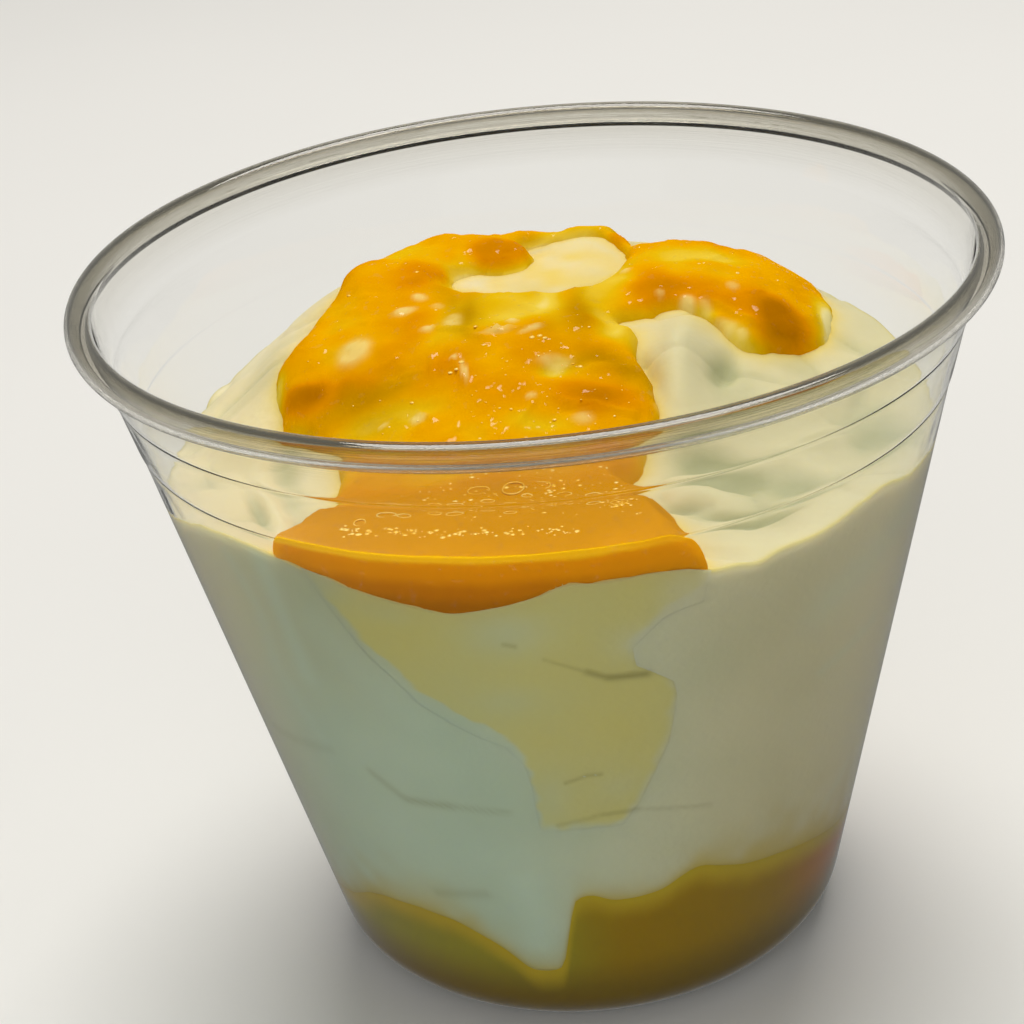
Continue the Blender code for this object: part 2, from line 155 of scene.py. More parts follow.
def ring_faces(count, sides, closed=False):
    """Quads between rings of points that run from the top down, each counter-clockwise from
    above. Where closed, the last ring joins the first."""
    row = np.arange(count if closed else count - 1)[:, None] * sides
    below = (row + sides) % (count * sides)
    side = np.arange(sides)
    beside = (side + 1) % sides
    quads = np.stack([row + side, below + side, below + beside, row + beside], axis=-1)
    return quads.reshape(-1, 4)


def pole_faces(count, sides):
    """Triangles from the first ring to a pole above it and from the last to one below it."""
    first = np.arange(sides)
    following = (first + 1) % sides
    last = (count - 1) * sides
    upper = np.stack([np.full(sides, count * sides), first, following], axis=1)
    lower = np.stack([np.full(sides, count * sides + 1), last + following, last + first], axis=1)
    return np.vstack([upper, lower])


def ring_body(name, rings, top, bottom):
    """A closed skin through rings (ring, side, xyz), with a pole at either end."""
    count, sides = rings.shape[:2]
    points = np.vstack([rings.reshape(-1, 3), [top], [bottom]])
    return fill_mesh(name, points, ring_faces(count, sides), pole_faces(count, sides))


def around(sides):
    return np.arange(sides) * math.tau / sides


def polar(radius, height, turn):
    """Points at a radius, a height and an angle from +X."""
    radius, height, turn = np.broadcast_arrays(radius, height, turn)
    return np.stack([radius * np.cos(turn), radius * np.sin(turn), height], axis=-1)


def carry(obj, node):
    """The piece moves with the one body and stands for its solid."""
    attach(obj, "root")
    if node:
        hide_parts(node)


CUP_SIDES = 256
face = cup_section()
back = set_in(face, SHEET)
outwards = (face[0] - face[1]) / np.linalg.norm(face[0] - face[1])
lip = (face[0] + back[0]) / 2 + outwards * SHEET * 0.35
loop = np.vstack([back[::-1][1:], [lip], face[:-1]])
cup_rings = polar(loop[:, :1], loop[:, 1:], around(CUP_SIDES))
cup = ring_body("clear_cup", cup_rings, (0, 0, back[-1, 1]), (0, 0, face[-1, 1]))


class Wire:
    """One output of a shader node. Sums, products and the like of wires add Math nodes."""

    def __init__(self, tree, socket=None):
        self.tree = tree
        self.socket = socket

    def node(self, kind, settings=(), inputs=(), output=0):
        """A new node of a kind: its settings first, a ramp's stops among them, then its sockets."""
        made = self.tree.nodes.new(kind)
        for name, value in dict(settings).items():
            if name == "stops":
                ramp = made.color_ramp.elements
                while len(ramp) < len(value):
                    ramp.new(1.0)
                for element, (position, colour) in zip(ramp, value):
                    element.position = position
                    element.color = (*colour, 1.0)
            else:
                setattr(made, name, value)
        for name, value in dict(inputs).items():
            if isinstance(value, Wire):
                self.tree.links.new(value.socket, made.inputs[name])
            else:
                made.inputs[name].default_value = value
        return Wire(self.tree, made.outputs[output])

    def maths(self, operation, first, second=0.0):
        return self.node("ShaderNodeMath", {"operation": operation}, {0: first, 1: second})

    def __add__(self, other):
        return self.maths("ADD", self, other)

    __radd__ = __add__

    def __sub__(self, other):
        return self.maths("SUBTRACT", self, other)

    def __rsub__(self, other):
        return self.maths("SUBTRACT", other, self)

    def __mul__(self, other):
        return self.maths("MULTIPLY", self, other)

    __rmul__ = __mul__

    def rise(self, low, high):
        """0 below low, 1 above high, and a smooth step between."""
        return self.node(
            "ShaderNodeMapRange",
            {"interpolation_type": "SMOOTHSTEP"},
            {"Value": self, "From Min": low, "From Max": high},
        )

    def mix(self, first, second):
        """The first colour where this wire is 0 and the second where it is 1."""
        return self.node(
            "ShaderNodeMix",
            {"data_type": "RGBA"},
            {"Factor": self, 6: first, 7: second},
            output=2,
        )

    def mottle(self, scale, detail):
        """Soft noise round 0.5 at the place that this wire gives."""
        sockets = {"Vector": self, "Scale": scale, "Detail": detail}
        return self.node("ShaderNodeTexNoise", (), sockets)

    def axis(self, number):
        """X, Y or Z (0, 1 or 2) of the place that this wire gives."""
        return self.node("ShaderNodeSeparateXYZ", (), {0: self}, number)

    def stored(self, name):
        """The number that the mesh stores under this name."""
        return self.node("ShaderNodeAttribute", {"attribute_name": name}, (), 2)

    def relief(self, strength, distance):
        """The normal, tilted as if this wire were a height."""
        sockets = {"Height": self, "Strength": strength, "Distance": distance}
        return self.node("ShaderNodeBump", (), sockets)


def rgb(red, green, blue):
    """A colour given as it looks on a screen, from 0 to 255, made linear."""
    share = np.array([red, green, blue]) / 255
    linear = np.where(share <= 0.04045, share / 12.92, ((share + 0.055) / 1.055) ** 2.4)
    return (*[float(v) for v in linear], 1.0)


def finish(name):
    """A new material: itself, its Principled node and a wire with the place on the object."""
    made = bpy.data.materials.new(name)
    made.use_nodes = True
    place = Wire(made.node_tree).node("ShaderNodeTexCoord", output=3)
    return made, made.node_tree.nodes["Principled BSDF"], place


def feed(shader, values):
    """Wires and constants into the Principled node's sockets of these names."""
    for name, value in values.items():
        if isinstance(value, Wire):
            value.tree.links.new(value.socket, shader.inputs[name])
        else:
            shader.inputs[name].default_value = value


def store(obj, name, values):
    """A number for each point of a mesh, which its material reads by name."""
    layer = obj.data.attributes.new(name, "FLOAT", "POINT")
    layer.data.foreach_set("value", np.asarray(values, dtype=np.float32).ravel())


def smooth(value, low, high):
    """0 below low, 1 above high, and 3t^2 - 2t^3 between."""
    t = np.clip((value - low) / (high - low), 0, 1)
    return t * t * (3 - 2 * t)


store(cup, "bead", np.append(smooth(cup_rings[..., 2], 0.0707, 0.0727), [0.0, 0.0]))
along_loop = np.concatenate([[0], np.cumsum(np.linalg.norm(np.diff(loop, axis=0), axis=1))])
store(cup, "drawn", np.append(np.repeat(along_loop, CUP_SIDES), [0.0, along_loop[-1]]))
pet, shader, place = finish("clear_pet")
waviness = place.mottle(90.0, 2.0)
haze = place.mottle(400.0, 3.0)
ripple = waviness.relief(0.06, 0.001)
bead = place.stored("bead")
drawn = place.stored("drawn")
round_rim = {"W": drawn * 5200.0 + waviness * 1.6, "Detail": 2.0}
# Painted shade on the rolled rim: grey streaks and a dark band along its top stand in for the dark
# lines that its curved sheet shows.
painted_shade_streaks = place.node("ShaderNodeTexNoise", {"noise_dimensions": "1D"}, round_rim)
rim_painted_shade = painted_shade_streaks.rise(0.34, 0.54).mix((0.42, 0.40, 0.33, 1.0), (0.92, 0.91, 0.87, 1.0))
upward = place.axis(2)
rim_painted_shade = upward.rise(0.0744, 0.0750).mix(rim_painted_shade, (0.40, 0.37, 0.29, 1.0))
feed(shader, {
    "Base Color": bead.mix((0.925, 0.930, 0.925, 1.0), rim_painted_shade),
    "Roughness": 0.015 + 0.03 * haze.rise(0.45, 0.75),
    "Normal": ripple,
    "IOR": 1.57,
    "Specular Tint": (0.16, 0.16, 0.16, 1.0),
    "Transmission Weight": 1.0,
    "Coat Weight": 0.8 * bead,
    "Coat Roughness": 0.03,
})
passes = place.node("ShaderNodeBsdfTransparent", (), {"Color": (0.90, 0.91, 0.91, 1.0)})
shadow = place.node("ShaderNodeLightPath", output=1)
sheet = Wire(pet.node_tree, shader.outputs[0])
both = place.node("ShaderNodeMixShader", (), {0: shadow, 1: sheet, 2: passes})
pet.node_tree.links.new(both.socket, pet.node_tree.nodes["Material Output"].inputs["Surface"])
cup.data.materials.append(pet)
carry(cup, "cup")


# ---- The mousse: whipped cream and mango, spooned into the cup over the puree and heaped in
# the middle. It is pressed flat against the wall, apart from a few creases that trapped air.
REACH = 0.00012  # how far the contents reach into the sheet, so that no air shows between
MOUSSE_AT_WALL = 0.0570
POOL_LEVEL = 0.0622
BASE_LEVEL = 0.0136
MM = 0.001


def in_units(units, rows):
    """A table whose columns are multiplied by their units: lengths are written in millimetres."""
    return np.array(rows) * units


# Round the wall: azimuth and height of the mousse's upper edge, then of the puree's
MOUSSE_EDGE = in_units((1, MM), [
    (-150, 55.6), (-120, 54.6), (-100, 54.5), (-84, 55.2), (-72, 56.2), (-66, 57.2), (-60, 58.7),
    (-55, 60), (-50, 60.3), (-44, 60), (-38, 59.7), (-33, 59.2), (-28, 57.9), (-22, 57), (-15, 56),
    (-8, 56.9), (-3, 57.9), (0, 59), (5, 58.7), (12, 58.8), (16, 58.5), (20, 57.4), (25, 57.1),
    (35, 57), (41, 57.7), (48, 58.4), (53, 58), (58, 56.9), (65, 56.2), (75, 55.8), (95, 55.6),
    (125, 55.8), (150, 56.2), (180, 56.2),
])
PUREE_EDGE = in_units((1, MM), [
    (-150, 12), (-120, 11), (-90, 9.2), (-70, 9.6), (-58, 11.6), (-50, 14), (-45, 14.8),
    (-36, 15.2), (-28, 14.6), (-24, 13.4), (-20, 12), (-16.5, 10.2), (-14.5, 8.6), (-11, 8.4),
    (-7, 8.8), (-5.6, 12), (-4.8, 17.2), (-3.5, 18.8), (0, 19.3), (3, 18.1), (8, 18), (13, 18.4),
    (17, 19.8), (20, 20.4), (24, 19.4), (30, 18.1), (38, 17.2), (46, 16.1), (60, 14), (80, 12.5),
    (110, 13.2), (150, 13),
])
EDGE_BLUR = 0.7  # degrees
# The heap's parts: x, y, two half widths, turn, height, steepness
MOUSSE_HEAPS = in_units((MM, MM, MM, MM, 1, MM, 1), [
    (0.5, 14, 30, 25, 0, 8.3, 4), (-2, -14, 18, 11, 0, 2, 2), (14.5, -5, 3, 9, -8, 1.6, 2),
    (24, -12, 9, 9, 0, 1, 2), (17, -28, 4, 3, -30, -1, 2), (29, -17, 4, 4, 0, -1.2, 2),
    (15, -34, 6, 1.2, -20, -0.8, 2), (-25, -21, 4, 6, 30, -0.9, 2),
    (-26.2, 7, 4.2, 8.5, 8, 2.2, 2), (-20, 20, 6.5, 6, 30, 2.6, 2), (-11, 28.5, 7, 4, 10, 1.8, 2),
    (7, 27.5, 6, 4, 0, 1, 2),
])
# Smaller marks of the spoon, too fine for the solids
SPOON_MARKS = in_units((MM, MM, MM, MM, 1, MM, 1), [
    (13.6, -3.5, 2.2, 7.5, -10, 1, 2), (18, -3.8, 1.1, 2.6, -25, -1.3, 2),
    (10.5, -5.5, 0.8, 3.4, 12, -0.9, 2), (14.5, -17.5, 3.2, 2.2, -24, -1.6, 2),
    (17.7, -20, 2.8, 1.7, -12, -1.2, 2), (23.2, -22.2, 3.4, 2.2, 8, -0.9, 2),
    (23, -17.8, 4, 1.2, -30, 0.4, 2), (13.5, -22.2, 4, 1.3, -16, 0.4, 2),
    (12.2, -24.2, 2.4, 0.7, 6, -0.8, 2), (16, -25.8, 3, 0.7, -16, -1, 2),
    (20.5, -26.2, 2, 0.6, 0, -0.6, 2), (15, -29, 5, 2, -14, 0.6, 2), (32, -11, 4.4, 3, 30, -1, 2),
    (26.5, -13.5, 5, 1.2, 35, 0.6, 2), (-28.5, -15, 0.8, 6, 16, -1, 2),
    (-26.2, -18.2, 1.2, 6.6, 18, 0.7, 2), (-22.5, -23, 2, 4, 30, -1.2, 2),
    (-30, -4, 3, 8, 12, 0.6, 2), (33, 0, 0.8, 7, -20, -0.6, 2), (-26.2, -9, 1.6, 7, 8, -0.8, 2),
])


skin_line = set_in(face, SHEET - REACH)
on_wall = (skin_line[:, 1] > 0.004) & (skin_line[:, 1] < 0.0720) & (skin_line[:, 0] < 0.0440)
skin_wall = skin_line[on_wall][::-1]


def inside_radius(height):
    """Radius of the skin of the contents: the cup's inside plus their reach into the sheet."""
    return np.interp(height, skin_wall[:, 1], skin_wall[:, 0])


def azimuth_of(x, y):
    return np.degrees(np.arctan2(x, -y))


def turned_by(azimuth, middle):
    """Difference of two azimuths, from -180 to 180 degrees."""
    return (azimuth - middle + 180) % 360 - 180


def round_wall(azimuth, table):
    """Heights round the wall: straight lines between the table's points, their corners blurred."""
    at, height = table.T
    shifts = [EDGE_BLUR * k for k in (-2, -1, 0, 1, 2)]
    blurred = [np.interp(azimuth + shift, at, height, period=360) for shift in shifts]
    return sum(blurred) / len(blurred)


def to_wall(x, y, table, level):
    """A level that bends to the heights round the wall with the sixth power of the radius."""
    edge = round_wall(azimuth_of(x, y), table)
    fade = np.clip(np.hypot(x, y) / inside_radius(edge), 0, 1) ** 6
    return level + fade * (edge - level)


def heap(x, y, cx, cy, wide, deep, turned, height, steepness):
    """height * exp(-distance^steepness), with the distance in the heap's half widths."""
    cosine, sine = math.cos(math.radians(turned)), math.sin(math.radians(turned))
    across = ((x - cx) * cosine + (y - cy) * sine) / wide
    along = ((y - cy) * cosine - (x - cx) * sine) / deep
    return height * np.exp(-((across**2 + along**2) ** (steepness / 2)))


def noise(x, y, seed):
    """Values from -1 to 1 drawn on a unit lattice by a hash, blended by 3t^2 - 2t^3."""
    cell = [np.floor(v).astype(np.int64) for v in (x, y)]
    part = [v - c for v, c in zip((x, y), cell)]
    part = [t * t * (3 - 2 * t) for t in part]
    total = 0.0
    for i in (0, 1):
        for j in (0, 1):
            mixed = (cell[0] + i) * 73856093 ^ (cell[1] + j) * 19349663
            mixed = (mixed ^ (seed * 2654435761)) & 0xFFFFFFFF
            mixed = (mixed ^ (mixed >> 15)) * 2246822519 & 0xFFFFFFFF
            mixed = (mixed ^ (mixed >> 13)) * 3266489917 & 0xFFFFFFFF
            drawn = ((mixed ^ (mixed >> 16)) & 0xFFFF) / 32767.5 - 1
            weight = (part[0] if i else 1 - part[0]) * (part[1] if j else 1 - part[1])
            total = total + drawn * weight
    return total


def lumps(x, y, size, seed):
    """Two layers of noise, the second half the size and half the height of the first."""
    fine = 2 / size
    return noise(x * (1 / size), y * (1 / size), seed) + noise(x * fine, y * fine, seed + 1) / 2


def mousse_form(x, y):
    total = to_wall(x, y, MOUSSE_EDGE, MOUSSE_AT_WALL)
    for shape in MOUSSE_HEAPS:
        total = total + heap(x, y, *shape)
    return total


def mousse_top(x, y):
    """The heaped form, with the spoon's marks, soft folds and fine pores."""
    total = mousse_form(x, y)
    for shape in SPOON_MARKS:
        total = total + heap(x, y, *shape)
    bend = 0.002 * noise(x / 0.009, y / 0.009, 3)
    folds = 1 - np.abs(noise((x + bend) / 0.0075, (y - bend) / 0.0058, 11))
    soft = 0.00034 * lumps(x, y, 0.0065, 21) - 0.00030 * folds**6
    pores = 0.00004 * lumps(x, y, 0.0012, 31)
    return total + soft + pores


def base_top(x, y):
    return to_wall(x, y, PUREE_EDGE, BASE_LEVEL)


def wall_height(surface, turn, guess):
    """Height at which a surface meets the wall, found by going back and forth between them."""
    height = np.full(len(turn), guess)
    for _ in range(16):
        radius = inside_radius(height)
        height = surface(radius * np.cos(turn), radius * np.sin(turn))
    return height


# Creases along the wall: azimuths and heights of both ends, half width, depth
WALL_CREASES = in_units((1, MM, 1, MM, MM, MM), [
    (-3.5, 50.3, 2.2, 48.3, 0.2, 0.2), (2.2, 48.3, 5, 47.3, 0.4, 0.4),
    (5, 47.3, 10.6, 47, 0.45, 0.5), (-8.6, 52.3, -7.2, 52, 0.25, 0.3),
    (-2.5, 34.8, 0.9, 35.5, 0.22, 0.3), (0.9, 35.5, 3.1, 35.5, 0.25, 0.3),
    (-4.5, 29.3, 3, 30.2, 0.3, 0.2), (3, 30.2, 9, 30.2, 0.28, 0.3),
    (9, 30.2, 21.6, 28.4, 0.26, 0.2), (-36, 34, -30.4, 31.3, 0.5, 0.2),
    (-30.4, 31.3, -21.9, 31.4, 0.45, 0.3), (-21.9, 31.4, -12.5, 31.1, 0.35, 0.2),
    (-30, 18.5, -20, 19.5, 0.6, 0.2), (-62, 33, -44, 35.2, 0.7, 0.1), (80, 33, 92, 33.8, 0.5, 0.1),
    (92, 33.8, 104, 36.2, 0.35, 0.2), (120, 47.6, 131, 47, 0.35, 0.2),
    (131, 47, 142, 45, 0.55, 0.1), (150, 30, 160, 29.2, 0.35, 0.2),
    (160, 29.2, 172, 26.8, 0.5, 0.1), (-172, 44, -161, 44.6, 0.5, 0.1),
    (-161, 44.6, -150, 46.5, 0.35, 0.2), (-140, 26.2, -124, 27, 0.55, 0.1),
    (-124, 27, -112, 29.2, 0.35, 0.2), (-104, 47.8, -95, 47.4, 0.35, 0.2),
    (-95, 47.4, -84, 45.8, 0.55, 0.1),
])
CREASE_INTO = 0.2  # share of a crease's depth that its surface follows
CREASE_DEEPEST = 0.0005
# Paler folds pressed to the wall, of the same numbers with a strength at the end
WALL_FOLDS = in_units((1, MM, 1, MM, MM, 1), [
    (-50.2, 57.2, -48, 51.2, 1, 0.5), (-48, 51.2, -50, 44.2, 1.2, 0.5),
    (-50, 44.2, -44.3, 34.6, 1.4, 0.4), (-43, 59, -42.4, 45, 1.4, 0.8), (-36, 52, -24, 43, 3, 0.5),
    (-12, 21.5, -10.5, 11, 2.2, 0.9), (-34, 26, -12, 24, 3, 0.4), (42, 39.5, 56, 41.2, 0.7, 0.4),
    (58, 22.5, 50, 19, 0.7, 0.35), (40, 48, 60, 52, 2.5, 0.4), (100, 40, 135, 38, 3, 0.5),
    (-160, 25, -120, 22, 3, 0.5),
])


def to_line(x, y, dx, dy):
    """The share of the line from (0, 0) to (dx, dy) nearest to a point, and how far it is."""
    share = np.clip((x * dx + y * dy) / (dx * dx + dy * dy), 0, 1)
    return share, np.hypot(x - share * dx, y - share * dy)


def wall_lines(azimuth, height, table):
    """The highest of bell curves across the table's lines on the wall."""
    total = np.zeros_like(height)
    spread = inside_radius(height) * math.pi / 180
    for az0, z0, az1, z1, width, strength in table:
        reach = turned_by(azimuth, az0) * spread
        away = to_line(reach, height - z0, (az1 - az0) * spread, z1 - z0)[1]
        total = np.maximum(total, strength * np.exp(-((away / width) ** 2)))
    return total


def surface_rings(surface, radius, turn, raised=0.0):
    return polar(radius, surface(radius * np.cos(turn), radius * np.sin(turn)) + raised, turn)


MOUSSE_SIDES, TOP_RINGS, SIDE_RINGS, UNDER_RINGS = 420, 120, 96, 8
UNDER_SINK = 0.0001
turn = around(MOUSSE_SIDES)
edge_height = wall_height(mousse_top, turn, MOUSSE_AT_WALL)
edge_radius = inside_radius(edge_height)
share = np.linspace(0, 1, TOP_RINGS + 1)[1:, None] ** 0.9
top_rings = surface_rings(mousse_top, share * edge_radius, turn)
low_height = wall_height(base_top, turn, BASE_LEVEL)
share = np.linspace(0, 1, SIDE_RINGS + 1)[1:, None]
height = edge_height + (low_height - edge_height) * share
crease = wall_lines(azimuth_of(np.cos(turn), np.sin(turn)) + 0 * height, height, WALL_CREASES)
side_rings = polar(inside_radius(height) - CREASE_INTO * crease, height, turn)
share = np.linspace(1, 0, UNDER_RINGS + 1)[1:-1, None]
under_rings = surface_rings(base_top, share * inside_radius(low_height), turn, -UNDER_SINK)
rings = np.concatenate([top_rings, side_rings, under_rings])
centre = np.zeros(1)
peak, dip = mousse_top(centre, centre)[0], base_top(centre, centre)[0]
mousse = ring_body("mousse_heap", rings, (0, 0, peak), (0, 0, dip - UNDER_SINK))

# The sauce as it was poured: strokes with round ends, each x, y, radius twice, and bare places
SAUCE_STROKES = in_units(MM, [
    (-7.2, -46, 24, -7.2, -36, 19), (-7.2, -36, 19, -7.6, -17.2, 12.5),
    (-7.6, -17.2, 12.5, -3.3, -10.3, 14.7), (-3.3, -10.3, 14.7, -11, 2, 15),
    (-11, 2, 15, -10.3, 13, 11), (-23.7, 3.6, 3.2, -18.5, 11, 3), (-10.3, 13, 11, -9.4, 20.2, 8.1),
    (-9.4, 20.2, 8.1, 0, 26.2, 3.8), (0, 26.2, 3.8, 9.5, 26.8, 2.6), (9.5, 26.8, 2.6, 11, 21.2, 2),
    (13, 19, 3.8, 19.5, 19.2, 5.5), (-1, 2, 10, 6, 4, 7), (2, 4, 7, 15, 12, 8.8),
    (15, 12, 8.8, 21.4, 14.4, 9.4), (21.4, 14.4, 9.4, 23, 8.1, 6.2),
    (23, 8.1, 6.2, 21.2, 1.8, 2.4),
])
# A hole behind the middle, and the notch between the two lobes
SAUCE_HOLE = in_units(MM, [
    (-6, 17.2, 2.3, -1.5, 15.6, 2.6), (-1.5, 15.6, 2.6, 2.6, 15, 2.6), (2.6, 15, 2.6, 4.8, 19, 4),
    (4.8, 19, 3.8, 5.2, 23.2, 3), (0.6, 26.2, 1.1, 4.8, 22, 3.4),
])
SAUCE_NOTCH = in_units(MM, [
    (9.2, 2.2, 0.8, 13, 2.2, 1.6), (13, 1, 2.5, 14, -4, 3.3), (14.2, -4, 3.3, 16.2, -13, 4.4),
    (16.2, -13, 4.4, 14.2, -19, 5), (12.2, 23.6, 0.6, 11.2, 27, 1.4),
    (-25.8, -6, 2.1, -25.1, -10.5, 3.1),
])
STROKE_BLEND = 0.0010


def stroke(x, y, x0, y0, r0, x1, y1, r1):
    """How far a point is inside a tapered stroke; negative outside."""
    share, away = to_line(x - x0, y - y0, x1 - x0, y1 - y0)
    return r0 + (r1 - r0) * share - away


def blended(distances):
    """A smooth maximum of several distances."""
    stack = np.array(distances) / STROKE_BLEND
    top = stack.max(axis=0)
    return STROKE_BLEND * (top + np.log(np.exp(stack - top).sum(axis=0)))


def strokes_reach(x, y, strokes):
    return blended([stroke(x, y, *s) for s in strokes])


def sauce_reach(x, y):
    """How far a point is inside the sauce's outline, whose edge wanders a little."""
    bare = strokes_reach(x, y, np.vstack([SAUCE_HOLE, SAUCE_NOTCH]))
    wander = 0.00045 * noise(x / 0.0031, y / 0.0031, 41)
    fine = 0.00016 * noise(x / 0.0009, y / 0.0009, 42)
    return -blended([-strokes_reach(x, y, SAUCE_STROKES), bare]) + (wander + fine)


points = np.vstack([rings.reshape(-1, 3), np.zeros((2, 3))])
x, y, z = points.T
tops = slice(0, TOP_RINGS * MOUSSE_SIDES)
sides = slice(tops.stop, tops.stop + SIDE_RINGS * MOUSSE_SIDES)
below_edge = np.full(len(points), -1.0)
below_edge[sides] = (edge_height - height).ravel()
skin = smooth(below_edge, 0.0, 0.0005)
radial = np.hypot(x, y)
near_wall = smooth(inside_radius(z) - radial, 0.0012, 0.0)
contact = np.where(below_edge > -0.5, np.exp(-((below_edge / 0.0004) ** 2)), near_wall**3)
contact[sides.stop:] = 0
reach = sauce_reach(x, y)
juice = np.exp(np.clip(reach, -0.02, 0) / 0.0010) * (1 - skin)
soaked = smooth(np.hypot((x - 0.003) / 0.008, (y - 0.017) / 0.009), 1.25, 0.7)
soaked = soaked * (0.75 + 0.35 * noise(x / 0.0022, y / 0.0022, 91)) * (1 - skin)
# How far each point on top lies down in a spoon's hollow; the cream is darkened there as painted
# shade.
hollow = np.zeros(len(points))
hollow[tops] = np.clip((mousse_form(x, y) - z)[tops] / 0.0011, 0, 1)


def on_sides(values):
    whole = np.zeros(len(points))
    whole[sides] = values.ravel()
    return whole


side_azimuth = azimuth_of(np.cos(turn), np.sin(turn)) + 0 * height
broad = 0.0011 + 0.0014 * smooth(side_azimuth, 12, 40) + 0.0008 * smooth(side_azimuth, -12, -25)
mottle = 1 + 0.5 * noise(side_azimuth / 4.0, height / 0.0022, 92)
puree_near = np.exp(-np.clip(height - low_height, 0, None) / (broad * mottle))
for name, values in (
    ("skin", skin), ("juice", np.maximum(juice, soaked)), ("hollow", hollow),
    ("contact", contact),
    ("crease", on_sides(crease / CREASE_DEEPEST)), ("puree", on_sides(puree_near)),
    ("fold", on_sides(wall_lines(side_azimuth, height, WALL_FOLDS))),
):
    store(mousse, name, values)


def mousse_finish(name, stained):
    """Pale mousse: warm cream on top; greener and greyer on its sides against the plastic, a
    painted shade.
    """
    made, shader, place = finish(name)
    layer = place.stored
    clouds = place.mottle(70.0, 3.0)
    grain = place.mottle(900.0, 2.0)
    pores = place.node("ShaderNodeTexVoronoi", (), {"Vector": place, "Scale": 1300.0})
    across = place.axis(0)
    upward = place.axis(2)
    cream = clouds.rise(0.35, 0.7).mix(rgb(228, 214, 166), rgb(232, 221, 180))
    # Painted shade: the top is greyer towards the right.
    cream = across.rise(0.002, 0.016).mix(cream, rgb(212, 205, 163))
    # Painted shade in the hollows of the spoon's marks.
    cream = (layer("hollow") * 1.1).mix(cream, rgb(180, 180, 138))
    # Painted shade on the sides against the plastic, bluer on the left and warmer on the right.
    left = clouds.rise(0.3, 0.7).mix(rgb(187, 201, 177), rgb(195, 207, 183))
    right = clouds.rise(0.3, 0.7).mix(rgb(203, 197, 160), rgb(209, 203, 168))
    shaded_side = (across + 0.008 * (clouds - 0.5)).rise(-0.014, 0.020).mix(left, right)
    # Painted shade: darker high on the left.
    high_left = across.rise(0.000, -0.020) * upward.rise(0.036, 0.054)
    shaded_side = (high_left * 0.8).mix(shaded_side, rgb(184, 186, 150))
    # Painted light: paler towards the far left and right, where the sides turn away.
    painted_edge_light = across.rise(-0.022, -0.036) + across.rise(0.018, 0.032)
    shaded_side = (painted_edge_light * 0.85).mix(shaded_side, rgb(232, 224, 190))
    shaded_side = (layer("fold") * 0.45).mix(shaded_side, rgb(202, 218, 200))
    colour = layer("skin").mix(cream, shaded_side)
    colour = (layer("juice") * 0.8).mix(colour, rgb(233, 204, 92))
    if stained:
        colour = (layer("stain") * (0.55 + 0.5 * clouds)).mix(colour, rgb(206, 197, 120))
    colour = (layer("puree") * 0.9).mix(colour, rgb(190, 164, 34))
    colour = (layer("contact") * 0.6).mix(colour, rgb(206, 190, 104))
    # Painted shade in the creases that trapped air.
    colour = (layer("crease") * 0.6).mix(colour, rgb(136, 128, 74))
    relief = 0.6 * grain + 0.4 * pores
    bump = relief.relief(0.25, 0.0002)
    feed(shader, {
        "Base Color": colour,
        "Roughness": 0.42 + 0.2 * grain,
        "Normal": bump,
        "Subsurface Weight": 0.30,
        "Subsurface Radius": (0.0024, 0.0020, 0.0010),
        "Subsurface Scale": 1.0,
        "Specular IOR Level": 0.10,
    })
    return made


mousse.data.materials.append(mousse_finish("mousse_cream", False))
carry(mousse, "mousse")


# ---- The stained wedge: mousse at the front wall that juice from the sauce has soaked into.
# It narrows downwards and lies a hair nearer to the sheet than the mousse round it.
# height, azimuths of the left and the right edge, depth
STAIN_SECTIONS = in_units((MM, 1, 1, MM), [
    (28.5, -7.5, 6, 3), (31, -7.8, 8.8, 4.5), (34.8, -7.8, 11.5, 5), (38.5, -8.6, 13.8, 6),
    (41.3, -11.1, 14.5, 6.5), (44.5, -19, 15, 7), (46.4, -23, 14.5, 7.5), (49.2, -26, 9, 8),
    (51.4, -29.1, 8.6, 8.5), (54.5, -31.8, 13.2, 8.5), (56, -33, 18.5, 9), (62, -37, 20, 9),
])
# Fainter places in it: azimuth, height, half widths, amount
STAIN_FAINT = in_units((1, MM, 1, MM, 1), [
    (-8, 53.5, 6, 2.6, 0.55), (-34, 58, 5, 2.6, 0.75), (9, 51, 4, 2.2, 0.45),
    (-9, 45.5, 5, 2, 0.25), (16, 55.5, 4, 3, 0.6), (-5, 33, 3, 3, 0.3), (6, 33.5, 4, 2, 0.25),
    (-24, 55.5, 4, 1.5, 0.25),
])
WEDGE_ROWS, WEDGE_COLUMNS = 120, 150
WEDGE_TOP = 0.0600
WEDGE_MARGIN = 0.0016
# How far its face stands out, how far its rim sinks into the mousse, and its depth at the rim
WEDGE_PROUD, WEDGE_SINK, WEDGE_EDGE = 0.00003, 0.00025, 0.0015


def stain_at(height, column):
    return np.interp(height, STAIN_SECTIONS[:, 0], STAIN_SECTIONS[:, column])


def stain_strength(azimuth, height):
    """1 well inside the stain and 0 outside: crisp along its left edge, soft on the right."""
    left, right = stain_at(height, 1), stain_at(height, 2)
    spread = inside_radius(height) * math.pi / 180
    ragged = 0.0004 * noise(azimuth / 1.9, height / 0.0011, 51)
    from_left = smooth((azimuth - left) * spread + ragged, -0.0003, 0.0007)
    from_right = smooth((right - azimuth) * spread + ragged, -0.0007, 0.0011)
    from_below = smooth(height - STAIN_SECTIONS[0, 0] + ragged, -0.0002, 0.0012)
    faint = sum(
        amount * np.exp(-(((azimuth - middle) / wide) ** 2) - ((height - level) / tall) ** 2)
        for middle, level, wide, tall, amount in STAIN_FAINT
    )
    return from_left * from_right * from_below * np.clip(1 - faint, 0, 1)


